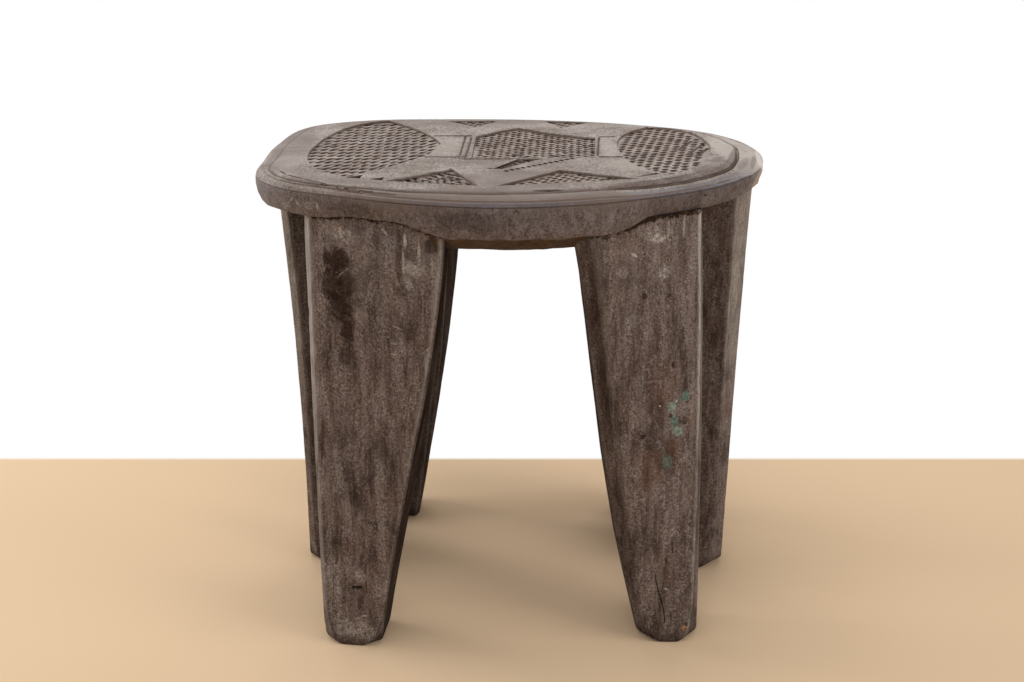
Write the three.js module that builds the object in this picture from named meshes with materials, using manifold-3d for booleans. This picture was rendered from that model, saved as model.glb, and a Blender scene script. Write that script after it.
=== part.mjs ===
// A carved wooden stool: a rounded seat slab with a chip-carved top, on six tapered legs.
// Lengths are in millimetres and +Z points up. The origin lies on the ground, under the
// middle of the seat. +X runs along the seat's long side, and -Y is the front.

import * as THREE from 'three';
import { mergeVertices } from 'three/addons/utils/BufferGeometryUtils.js';
import Module from 'manifold-3d';

const wasm = await Module();
wasm.setup();

// Driving dimensions of the seat
const SEAT_WIDTH = 382;
const SEAT_DEPTH = 312;
const SEAT_HEIGHT = 351;
const RIM_STEPS = 96;
const EDGE_ROUND = 7;
const EDGE_DROP = 5;
const SIDE_DRAW_IN = 3.5;
const LOWER_EDGE = 332;
const LOWER_LIP = 3.5;
const UNDERSIDE_BEVEL = 24;
const CORE_BOTTOM = 310.5;
const CORE_RISE = 15.5;
const CORE_SHARE = 0.55;
const CORE_SPREAD = 0.62;
const CORE_CROWN = 3;

// Driving dimensions of the rim groove, which runs round the top, and of the worn rim outside it.
// The path lists how far in the groove runs, as [direction, inset], all the way round.
const GROOVE_PATH = [
  [-Math.PI, 12], [-2.75, 10], [-2.45, 9.5], [-2.15, 14], [-1.85, 19.5], [-1.55, 21.5], [-1.1, 20.5],
  [-0.8, 17], [-0.5, 16.5], [-0.15, 19.5], [0.3, 20], [0.8, 18], [1.2, 14.5], [1.6, 13],
  [2.2, 13], [2.8, 12.5], [Math.PI, 12],
];
const GROOVE_HALF_WIDTH = 1.8;
const RIM_FALL = 2;
const GROOVE_DEPTH = 1.5;
const GROOVE_EXTRA_DEPTH = 1.5;
const GROOVE_DEEPEST_AT = -0.45;

// Driving dimensions of the carved top
const FIELD_DEPTH = 2;
const POCKET_DEPTH = 2.4;
const CUT_ABOVE = 4;
const CURVE_STEPS = 8;
const FURROW_PITCH = 8;
const FURROW_WIDTH = 4;
const FURROW_DEPTH = 1.3;
const FURROW_LEAN = 0.17;
const LINE_WIDTH = 2;
const LINE_DEPTH = 1.2;

// Driving dimensions shared by the legs
const LEG_TOP = 332;
const LEG_LEVELS = 12;
const SOCKET_GAP = 0.3;
const FACE_STEPS = 6;
const BACK_SHARE = { foot: 0.92, top: 0.62 };
const BACK_BEVEL = { foot: 3.5, top: 8 };
const BEVEL_SKEW = 0.6;

// The seat seen from above: a rounded D, fuller at the back, from the front left corner round
const SEAT_OUTLINE = [
  [-189, -62], [-167, -97], [-122, -123], [-70, -145], [-15, -155], [45, -146],
  [100, -121], [150, -84], [181, -32], [189, 30], [171, 88], [120, 127],
  [40, 153], [-50, 160], [-130, 153], [-178, 122], [-192, 50], [-193, -5],
];

// The worn bottom edge of a foot, as [height, extra corner bevel, inset]
const FOOT_WEAR = [[0, 9, 1.6], [2, 6.5, 0.5], [6, 4, 0], [16, 1.5, 0], [32, 0, 0]];

// Where the slab's lower edge hangs down between two legs, as [direction, half width, drop]
const APRONS = [
  [-1.5, 0.47, 9],
  [1.62, 0.45, 7],
  [3.63, 0.25, 3],
  [2.54, 0.15, 3.5],
  [0.52, 0.12, 3],
];

// Each leg: the outer face's two corners at the foot and at the top, its thickness and its
// crown there, and the bevels of those corners. Then how far each edge stands past its straight
// taper, low down and high up, how far the face bows in, and how worn the two foot corners are.
const LEGS = [
  {
    name: 'leg_front_left',
    foot: { from: [-145, -123], to: [-101, -130], thick: 39, crown: 3, bevels: [6, 3] },
    top: { from: [-152.5, -97], to: [-47, -143], thick: 62, crown: 6, bevels: [8, 4] },
    full: { from: [2, 1], to: [-5, 11.5] },
    waist: 0,
    wear: [1, 1.3],
  },
  {
    name: 'leg_front_right',
    foot: { from: [94.5, -122], to: [140.5, -120], thick: 39, crown: 4.5, bevels: [9, 8] },
    top: { from: [43, -142], to: [136.5, -98], thick: 60, crown: 5, bevels: [17, 9] },
    full: { from: [9.5, -2], to: [3, 3] },
    waist: 0,
    wear: [1, 1],
  },
  {
    name: 'leg_right',
    foot: { from: [172.5, -9], to: [175.5, 43], thick: 40, crown: 1.5, bevels: [7, 8] },
    top: { from: [179, -22], to: [177, 74], thick: 58, crown: 4, bevels: [11, 9] },
    full: { from: [1, 1], to: [3, 3] },
    waist: 1,
    wear: [2.3, 1],
  },
  {
    name: 'leg_back_right',
    foot: { from: [141, 118], to: [96, 130], thick: 40, crown: 3, bevels: [8, 8] },
    top: { from: [137, 105], to: [51, 145], thick: 58, crown: 6, bevels: [9, 9] },
    full: { from: [0, 0], to: [0, 2] },
    waist: 0,
    wear: [1, 1],
  },
  {
    name: 'leg_back_left',
    foot: { from: [-87, 130], to: [-131, 126], thick: 38, crown: 3, bevels: [8, 8] },
    top: { from: [-42.5, 148], to: [-140, 136], thick: 60, crown: 6, bevels: [9, 9] },
    full: { from: [7.5, 9.5], to: [0, 0] },
    waist: 0,
    wear: [1, 1],
  },
  {
    name: 'leg_left',
    foot: { from: [-173, 55], to: [-173, 7], thick: 40, crown: 1.5, bevels: [8, 6] },
    top: { from: [-180, 84], to: [-180, -14], thick: 58, crown: 5, bevels: [9, 8] },
    full: { from: [3, 3], to: [2, 2] },
    waist: 4,
    wear: [1, 1.2],
  },
];

const WOOD = { color: 0x4a3d36, roughness: 0.62, metalness: 0 };
const WORN_WOOD = { color: 0x75695f, roughness: 0.68, metalness: 0 };

// Turning meshes into solids that can be cut, and back

function toSolid(geometry) {
  const bare = geometry.clone();
  bare.deleteAttribute('normal');
  bare.deleteAttribute('uv');
  const merged = mergeVertices(bare, 1e-4);
  const vertProperties = Float32Array.from(merged.getAttribute('position').array);
  const triVerts = Uint32Array.from(merged.getIndex().array);
  return new wasm.Manifold(new wasm.Mesh({ numProp: 3, vertProperties, triVerts }));
}

function toGeometry(solid) {
  const mesh = solid.getMesh();
  const geometry = new THREE.BufferGeometry();
  geometry.setAttribute('position', new THREE.BufferAttribute(mesh.vertProperties, 3));
  geometry.setIndex(new THREE.BufferAttribute(mesh.triVerts, 1));
  geometry.computeVertexNormals();
  return geometry;
}

// A closed skin over a stack of rings with equal counts of points, listed from the bottom up
// and each anticlockwise seen from above. A point closes each end.
function loft(rings, lowTip, highTip) {
  const count = rings[0].length;
  const positions = rings.flat().flatMap((point) => [point.x, point.y, point.z]);
  positions.push(lowTip.x, lowTip.y, lowTip.z, highTip.x, highTip.y, highTip.z);
  const low = rings.length * count;
  const high = low + 1;
  const last = (rings.length - 1) * count;
  const index = [];
  for (let i = 0; i < count; i += 1) {
    const next = (i + 1) % count;
    for (let ring = 0; ring < rings.length - 1; ring += 1) {
      const below = ring * count;
      const above = below + count;
      index.push(below + i, below + next, above + next);
      index.push(below + i, above + next, above + i);
    }
    index.push(low, next, i);
    index.push(high, last + i, last + next);
  }
  const geometry = new THREE.BufferGeometry();
  geometry.setAttribute('position', new THREE.Float32BufferAttribute(positions, 3));
  geometry.setIndex(index);
  return geometry;
}

// The seat slab

function bump(angle, centre, halfWidth) {
  const away = Math.abs(THREE.MathUtils.euclideanModulo(angle - centre + Math.PI, 2 * Math.PI) - Math.PI);
  return 1 - THREE.MathUtils.smoothstep(away, halfWidth * 0.75, halfWidth * 1.35);
}

// Evenly spaced stations round the seat's outline, each with its outward direction
function rimStations() {
  const knots = SEAT_OUTLINE.map(([x, y]) => new THREE.Vector3(x, y, 0));
  const curve = new THREE.CatmullRomCurve3(knots, true, 'centripetal');
  const points = curve.getSpacedPoints(RIM_STEPS).slice(0, RIM_STEPS);
  const box = new THREE.Box3().setFromPoints(points);
  const size = box.getSize(new THREE.Vector3());
  const middle = box.getCenter(new THREE.Vector3());
  const fit = new THREE.Vector3(SEAT_WIDTH / size.x, SEAT_DEPTH / size.y, 1);
  points.forEach((point) => point.sub(middle).multiply(fit));
  return points.map((point, i) => {
    const before = points[(i + RIM_STEPS - 1) % RIM_STEPS];
    const after = points[(i + 1) % RIM_STEPS];
    const along = after.clone().sub(before).normalize();
    return { point, out: new THREE.Vector3(along.y, -along.x, 0), angle: Math.atan2(point.y, point.x) };
  });
}

function rimRing(stations, insetAt, heightAt) {
  return stations.map((station) => {
    const point = station.point.clone().addScaledVector(station.out, -insetAt(station.angle));
    return point.setZ(heightAt(station.angle));
  });
}

function lowerEdge(angle) {
  return APRONS.reduce((height, [centre, halfWidth, drop]) => height - drop * bump(angle, centre, halfWidth),
    LOWER_EDGE);
}

function grooveInset(angle) {
  const next = Math.max(1, GROOVE_PATH.findIndex(([direction]) => direction >= angle));
  const [[from, start], [to, end]] = [GROOVE_PATH[next - 1], GROOVE_PATH[next]];
  return THREE.MathUtils.lerp(start, end, THREE.MathUtils.smoothstep(angle, from, to));
}

function grooveDepth(angle) {
  return GROOVE_DEPTH + GROOVE_EXTRA_DEPTH * bump(angle, GROOVE_DEEPEST_AT, 0.5);
}

// The underside hangs lowest at the front and the back, and is shallower at the two ends
function coreEdge(angle) {
  const [front, back] = APRONS;
  const deep = Math.max(bump(angle, front[0], CORE_SPREAD), bump(angle, back[0], CORE_SPREAD));
  return CORE_BOTTOM + CORE_RISE * (1 - deep);
}

function seatBody() {
  const stations = rimStations();
  const top = SEAT_HEIGHT;
  const rings = [
    stations.map(({ point }) => point.clone().multiplyScalar(CORE_SHARE).setZ(CORE_BOTTOM - CORE_CROWN / 2)),
    rimRing(stations, () => UNDERSIDE_BEVEL, coreEdge),
    rimRing(stations, () => SIDE_DRAW_IN + LOWER_LIP, (angle) => lowerEdge(angle) - 1),
    rimRing(stations, () => SIDE_DRAW_IN, lowerEdge),
    rimRing(stations, () => 1, (angle) => lowerEdge(angle) + 6),
    rimRing(stations, () => 0, () => top - EDGE_DROP - 5),
    rimRing(stations, () => 0.3, () => top - EDGE_DROP),
    rimRing(stations, () => EDGE_ROUND * 0.35, () => top - RIM_FALL - 1),
    rimRing(stations, () => EDGE_ROUND, () => top - RIM_FALL),
    rimRing(stations, (angle) => grooveInset(angle) - GROOVE_HALF_WIDTH, () => top - RIM_FALL * 0.3),
    rimRing(stations, grooveInset, (angle) => top - grooveDepth(angle)),
    rimRing(stations, (angle) => grooveInset(angle) + GROOVE_HALF_WIDTH, () => top),
  ];
  const lowTip = new THREE.Vector3(0, 0, CORE_BOTTOM - CORE_CROWN);
  const highTip = new THREE.Vector3(0, 0, top);
  return toSolid(loft(rings, lowTip, highTip));
}

// The outlines of the carving, seen from above

function leftField() {
  const shape = new THREE.Shape();
  shape.moveTo(-107, 137);
  shape.bezierCurveTo(-140, 125, -153, 80, -157, 12);
  shape.bezierCurveTo(-158, -30, -147, -66, -118, -84);
  shape.quadraticCurveTo(-88, -48, -70, -16);
  shape.quadraticCurveTo(-58, 12, -58, 39);
  shape.quadraticCurveTo(-70, 90, -107, 137);
  return shape;
}

function rightField() {
  const shape = new THREE.Shape();
  shape.moveTo(112, 108);
  shape.bezierCurveTo(94, 92, 80, 70, 80, 20);
  shape.bezierCurveTo(80, -30, 90, -62, 111, -75);
  shape.bezierCurveTo(140, -55, 152, 0, 153, 36);
  shape.bezierCurveTo(151, 82, 138, 112, 112, 108);
  return shape;
}

function centreField() {
  const shape = new THREE.Shape();
  shape.moveTo(-34, -18);
  shape.lineTo(60, -18);
  shape.lineTo(65, 61);
  shape.quadraticCurveTo(42, 66, 4, 104);
  shape.quadraticCurveTo(-14, 90, -33, 66);
  return shape;
}

function triangle(a, b, c) {
  return new THREE.Shape([a, b, c].map(([x, y]) => new THREE.Vector2(x, y)));
}

const POCKETS = [
  triangle([-90, -97], [-25, -113], [-44, -51]),
  triangle([-13, -113], [88, -90], [32, -61]),
  triangle([-39, -21], [-6, -66], [43, -21]),
  triangle([-32, 107], [-14, 134], [-57, 134]),
  triangle([39, 102], [63, 127], [26, 133]),
  triangle([-118, -86], [-109, -89], [-108, -78]),
  triangle([-101, -92], [-93, -95], [-92, -86]),
  triangle([84, -86], [104, -75], [101, -70]),
];

// Incised lines on the plain strips beside the middle field: from, to
const LINES = [
  [[-66, 68], [-36, 68]],
  [[-70, -15], [-38, -15]],
  [[-38, 68], [-39, -19]],
  [[66, 64], [82, 64]],
  [[62, -15], [82, -15]],
];

function prism(shape, depth) {
  const height = depth + CUT_ABOVE;
  const geometry = new THREE.ExtrudeGeometry(shape, {
    depth: height, bevelEnabled: false, curveSegments: CURVE_STEPS,
  });
  geometry.translate(0, 0, SEAT_HEIGHT - depth);
  return toSolid(geometry);
}

// A three-sided bar whose lowest edge is a V cut from one point to another
function vBar(from, to, width, depth, surface) {
  const start = new THREE.Vector2(...from);
  const end = new THREE.Vector2(...to);
  const length = start.distanceTo(end);
  const rise = CUT_ABOVE / depth + 1;
  const section = new THREE.Shape([
    new THREE.Vector2(0, -depth),
    new THREE.Vector2(width * rise / 2, CUT_ABOVE),
    new THREE.Vector2(-width * rise / 2, CUT_ABOVE),
  ]);
  const geometry = new THREE.ExtrudeGeometry(section, { depth: length, bevelEnabled: false });
  geometry.rotateX(Math.PI / 2);
  geometry.rotateZ(Math.atan2(end.y - start.y, end.x - start.x) + Math.PI / 2);
  geometry.translate(start.x, start.y, surface);
  return toSolid(geometry);
}

// The furrows between a field's slanting rows of chips
function furrows(shape) {
  const box = new THREE.Box2().setFromPoints(shape.getPoints(CURVE_STEPS));
  const run = (box.max.y - box.min.y) * FURROW_LEAN;
  const surface = SEAT_HEIGHT - FIELD_DEPTH;
  const rows = [];
  for (let x = box.min.x - run; x < box.max.x; x += FURROW_PITCH) {
    rows.push(vBar([x, box.min.y], [x + run, box.max.y], FURROW_WIDTH, FURROW_DEPTH, surface));
  }
  const comb = rows.reduce((all, row) => all.add(row));
  return comb.intersect(prism(shape, FIELD_DEPTH + FURROW_DEPTH));
}

function carving() {
  const fields = [leftField(), rightField(), centreField()];
  const cuts = fields.flatMap((shape) => [prism(shape, FIELD_DEPTH), furrows(shape)]);
  cuts.push(...POCKETS.map((shape) => prism(shape, POCKET_DEPTH)));
  cuts.push(...LINES.map(([from, to]) => vBar(from, to, LINE_WIDTH, LINE_DEPTH, SEAT_HEIGHT)));
  return cuts;
}

// The legs

// How far a curved edge stands past a straight one at a height
function fullness(rise, [low, high]) {
  const fall = 1 - rise;
  return 3 * rise * fall * (low * fall + high * rise);
}

// The outline of a leg at one height: a crowned outer face, bevelled edges and a narrower back
function legSection(leg, rise, z, grow, extraBevel) {
  const mix = THREE.MathUtils.lerp;
  const corner = (end) => new THREE.Vector2(...leg.foot[end]).lerp(new THREE.Vector2(...leg.top[end]), rise);
  const from = corner('from');
  const to = corner('to');
  const along = to.clone().sub(from).normalize();
  const out = new THREE.Vector2(along.y, -along.x);
  from.addScaledVector(along, -fullness(rise, leg.full.from));
  to.addScaledVector(along, fullness(rise, leg.full.to));
  const width = from.distanceTo(to) + 2 * grow;
  const thick = mix(leg.foot.thick, leg.top.thick, rise) + 2 * grow;
  const crown = mix(leg.foot.crown, leg.top.crown, rise);
  const [near, far] = [0, 1].map((side) => {
    const bevel = mix(leg.foot.bevels[side], leg.top.bevels[side], rise);
    const worn = extraBevel * leg.wear[side];
    return { face: BEVEL_SKEW * bevel + worn, side: bevel + worn * BEVEL_SKEW };
  });
  const profile = [];
  for (let i = 0; i <= FACE_STEPS; i += 1) {
    const u = mix(near.face, width - far.face, i / FACE_STEPS);
    const across = 2 * u / width - 1;
    profile.push([u, crown * (1 - across * across)]);
  }
  const share = mix(BACK_SHARE.foot, BACK_SHARE.top, rise);
  const bevel = mix(BACK_BEVEL.foot, BACK_BEVEL.top, rise);
  const [left, right] = [(1 - share) / 2 * width, (1 + share) / 2 * width];
  profile.push([width, -far.side], [right, bevel - thick], [right - bevel, -thick]);
  profile.push([left + bevel, -thick], [left, bevel - thick], [0, -near.side]);
  const bowIn = leg.waist * 4 * rise * (1 - rise);
  return profile.map(([u, v]) => {
    const place = from.clone().addScaledVector(along, u - grow).addScaledVector(out, v + grow - bowIn);
    return new THREE.Vector3(place.x, place.y, z);
  });
}

function middleOf(ring) {
  return ring.reduce((sum, point) => sum.add(point), new THREE.Vector3()).divideScalar(ring.length);
}

function insetRing(ring, distance) {
  const middle = middleOf(ring);
  return ring.map((point) => {
    const inwards = middle.clone().sub(point).normalize();
    return point.clone().addScaledVector(inwards, distance);
  });
}

function legSolid(leg, grow) {
  const rings = FOOT_WEAR.map(([z, extraBevel, inset]) => (
    insetRing(legSection(leg, z / LEG_TOP, z, grow, extraBevel), inset)));
  const [start] = FOOT_WEAR[FOOT_WEAR.length - 1];
  for (let level = 1; level <= LEG_LEVELS; level += 1) {
    const z = THREE.MathUtils.lerp(start, LEG_TOP, level / LEG_LEVELS);
    const atTop = level === LEG_LEVELS ? grow : 0;
    rings.push(legSection(leg, z / LEG_TOP, z + atTop, grow, 0));
  }
  return toSolid(loft(rings, middleOf(rings[0]), middleOf(rings[rings.length - 1])));
}

// The stool

function namedMesh(name, solid, finish) {
  const mesh = new THREE.Mesh(toGeometry(solid), new THREE.MeshStandardMaterial(finish));
  mesh.name = name;
  return mesh;
}

function buildSeat() {
  const carved = carving().reduce((body, cut) => body.subtract(cut), seatBody());
  return LEGS.reduce((body, leg) => body.subtract(legSolid(leg, SOCKET_GAP)), carved);
}

const stool = new THREE.Group();
stool.add(namedMesh('seat', buildSeat(), WORN_WOOD));
LEGS.forEach((leg) => stool.add(namedMesh(leg.name, legSolid(leg, 0), WOOD)));

export default stool;
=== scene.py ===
"""A carved wooden stool: a slab seat with a chip-carved top on six broad tapered legs.

Lengths are worked in millimetres and brought to metres when a piece is finished. The origin
lies on the ground under the middle of the seat, +Z points up and -Y is the front.
"""

import logging
import math
import random
from collections.abc import Sequence
from dataclasses import dataclass, field
from enum import Enum

import bmesh
import bpy
from mathutils import Matrix, Vector, noise
from mathutils.bvhtree import BVHTree
from mathutils.kdtree import KDTree


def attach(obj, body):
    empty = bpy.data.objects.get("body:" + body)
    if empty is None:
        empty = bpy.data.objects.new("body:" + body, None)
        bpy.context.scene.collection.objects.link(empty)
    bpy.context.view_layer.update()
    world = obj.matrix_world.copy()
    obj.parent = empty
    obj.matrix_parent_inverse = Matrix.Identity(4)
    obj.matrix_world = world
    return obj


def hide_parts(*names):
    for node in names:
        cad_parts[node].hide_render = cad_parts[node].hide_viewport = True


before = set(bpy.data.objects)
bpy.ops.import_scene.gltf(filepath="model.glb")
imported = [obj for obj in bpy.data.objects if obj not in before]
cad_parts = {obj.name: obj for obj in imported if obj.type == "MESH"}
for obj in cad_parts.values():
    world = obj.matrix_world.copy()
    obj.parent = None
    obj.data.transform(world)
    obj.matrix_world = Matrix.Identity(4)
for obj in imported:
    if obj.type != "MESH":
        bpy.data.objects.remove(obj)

LOG = logging.getLogger("stool")
MM = 0.001
UP = Vector((0.0, 0.0, 1.0))
WHITE = (1.0, 1.0, 1.0, 1.0)

Point = tuple[float, float]
Triple = tuple[float, float, float]
Tint = tuple[int, int, int]
Shape = bmesh.types.BMesh
Socket = bpy.types.NodeSocket


# Small sums


def mix(first: float, second: float, share: float) -> float:
    """The value at a share of the way from first to second."""
    return first + (second - first) * share


def ease(value: float, low: float, high: float) -> float:
    """A smooth step from 0 at low to 1 at high."""
    share = min(1.0, max(0.0, (value - low) / (high - low)))
    return share * share * (3.0 - 2.0 * share)


def swell(angle: float, centre: float, half_width: float) -> float:
    """A smooth bump of height 1 round a direction.

    Args:
        angle: The direction, in radians.
        centre: The direction of the bump's middle.
        half_width: Half of the bump's width, in radians.

    Returns:
        1 in the bump, 0 away from it.
    """
    away = abs((angle - centre + math.pi) % (2.0 * math.pi) - math.pi)
    return 1.0 - ease(away, half_width * 0.75, half_width * 1.35)


def grain(place: Vector, size: float, seed: float = 0.0, tall: float = 1.0) -> float:
    """Smooth noise from -1 to 1.

    Args:
        place: Where the noise is read, in millimetres.
        size: The size of its features.
        seed: Which of the many noises it is.
        tall: How many times longer the features are upright.

    Returns:
        The noise.
    """
    squeezed = Vector((place.x, place.y, place.z / tall)) / size
    return noise.noise(squeezed + Vector((seed, seed * 1.7, -seed)))


def tone(red: int, green: int, blue: int) -> tuple[float, float, float, float]:
    """A colour as a shader takes it, from its three values out of 255."""
    shares = [value / 255.0 for value in (red, green, blue)]
    linear = [s / 12.92 if s <= 0.04045 else ((s + 0.055) / 1.055) ** 2.4 for s in shares]
    return (linear[0], linear[1], linear[2], 1.0)


# Lines and outlines seen from above


def curve_through(start: Point, *bends: tuple[Point, ...], steps: int = 20) -> list[Point]:
    """Points along a run of straight lines and Bezier curves.

    Args:
        start: The first point.
        *bends: For each line or curve its control points, if any, and then its end.
        steps: The number of steps along a curve.

    Returns:
        The points, without the last one where the run closes on its start.
    """
    points = [start]
    for bend in bends:
        control = [Vector(points[-1]), *(Vector(point) for point in bend)]
        count = 1 if len(bend) == 1 else steps
        for step in range(1, count + 1):
            row = control
            while len(row) > 1:
                row = [a.lerp(b, step / count) for a, b in zip(row, row[1:])]
            points.append((row[0].x, row[0].y))
    if (Vector(points[-1]) - Vector(start)).length < 0.01:
        points.pop()
    return points


def closed_curve(knots: Sequence[Point], count: int) -> list[Vector]:
    """Evenly spaced points on a closed centripetal curve.

    Args:
        knots: The points that the curve goes through.
        count: How many points are wanted.

    Returns:
        The points, from the first knot on.
    """
    fine: list[Vector] = []
    total = len(knots)
    for index in range(total):
        a, b, c, d = (Vector(knots[(index + shift) % total]) for shift in (-1, 0, 1, 2))
        gap_ab, gap_bc, gap_cd = (math.sqrt((q - p).length) for p, q in ((a, b), (b, c), (c, d)))
        leave = ((b - a) / gap_ab - (c - a) / (gap_ab + gap_bc) + (c - b) / gap_bc) * gap_bc
        arrive = ((c - b) / gap_bc - (d - b) / (gap_bc + gap_cd) + (d - c) / gap_cd) * gap_bc
        for step in range(40):
            t = step / 40
            twice, thrice = t * t, t * t * t
            fine.append(
                b * (2 * thrice - 3 * twice + 1)
                + leave * (thrice - 2 * twice + t)
                + c * (3 * twice - 2 * thrice)
                + arrive * (thrice - twice)
            )
    fine.append(fine[0])
    travelled = [0.0]
    for before, after in zip(fine, fine[1:]):
        travelled.append(travelled[-1] + (after - before).length)
    points, at = [], 0
    for index in range(count):
        goal = travelled[-1] * index / count
        while travelled[at + 1] < goal:
            at += 1
        share = (goal - travelled[at]) / (travelled[at + 1] - travelled[at])
        points.append(fine[at].lerp(fine[at + 1], share))
    return points


def room_inside(place: Point, outline: Sequence[Point]) -> float:
    """How far a place lies inside an outline, below 0 where it lies outside."""
    spot = Vector(place)
    inside, nearest = False, math.inf
    for first, second in zip(outline, (*outline[1:], outline[0])):
        start, end = Vector(first), Vector(second)
        run = end - start
        share = min(1.0, max(0.0, (spot - start).dot(run) / run.length_squared))
        nearest = min(nearest, (spot - start - run * share).length)
        if (start.y > spot.y) != (end.y > spot.y):
            inside ^= spot.x < start.x + run.x * (spot.y - start.y) / run.y
    return nearest if inside else -nearest


def shifted_outline(outline: Sequence[Point], distance: float) -> list[Point]:
    """An anticlockwise outline moved outwards by a distance, or inwards by one below 0."""
    turning = sum(a[0] * b[1] - b[0] * a[1] for a, b in zip(outline, (*outline[1:], outline[0])))
    side = distance if turning > 0 else -distance
    moved = []
    for index, here in enumerate(outline):
        before, after = Vector(outline[index - 1]), Vector(outline[(index + 1) % len(outline)])
        into, away = (Vector(here) - before).normalized(), (after - Vector(here)).normalized()
        out = Vector((into.y + away.y, -into.x - away.x)).normalized()
        reach = side / max(0.45, out.dot(Vector((into.y, -into.x))))
        moved.append((here[0] + out.x * reach, here[1] + out.y * reach))
    return moved


# Making and cutting solids


def add_loft(shape: Shape, rings: Sequence[Sequence[Vector]]) -> list[bmesh.types.BMFace]:
    """Adds a closed solid that skins a stack of rings.

    Args:
        shape: The mesh that takes the solid.
        rings: Rings with equal counts of points, from one end to the other.

    Returns:
        The flat faces that close the first and the last ring.
    """
    made = bmesh.ops.create_circle(shape, segments=len(rings[0]), radius=1.0)
    place_of = dict(zip(made["verts"], range(len(rings[0]))))
    for vert, index in place_of.items():
        vert.co = rings[0][index]
    edges = list({edge for vert in place_of for edge in vert.link_edges})
    ends = [bmesh.ops.contextual_create(shape, geom=edges)["faces"][0]]
    for ring in rings[1:]:
        grown = bmesh.ops.extrude_edge_only(shape, edges=edges)["geom"]
        fresh = {}
        for vert in (part for part in grown if isinstance(part, bmesh.types.BMVert)):
            beside = (edge.other_vert(vert) for edge in vert.link_edges)
            fresh[vert] = place_of[next(other for other in beside if other in place_of)]
            vert.co = ring[fresh[vert]]
        place_of = fresh
        edges = [
            part for part in grown
            if isinstance(part, bmesh.types.BMEdge) and all(vert in fresh for vert in part.verts)
        ]
    ends.append(bmesh.ops.contextual_create(shape, geom=edges)["faces"][0])
    return ends


def quilt(shape: Shape, face: bmesh.types.BMFace, pitch: float) -> list[bmesh.types.BMVert]:
    """Divides a level face into squares.

    Args:
        shape: The mesh that the face is in.
        face: The face.
        pitch: The greatest side of a square.

    Returns:
        The points of the divided face.
    """
    spans = [[vert.co[axis] for vert in face.verts] for axis in (0, 1)]
    parts = [face, *face.edges, *face.verts]
    for axis, span in enumerate(spans):
        count = math.ceil((max(span) - min(span)) / pitch)
        across = Vector((1.0 - axis, float(axis), 0.0))
        for step in range(1, count):
            at = across * mix(min(span), max(span), step / count)
            cut = bmesh.ops.bisect_plane(shape, geom=parts, dist=0.01, plane_co=at, plane_no=across)
            parts = cut["geom"]
    return [part for part in parts if isinstance(part, bmesh.types.BMVert)]


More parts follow.
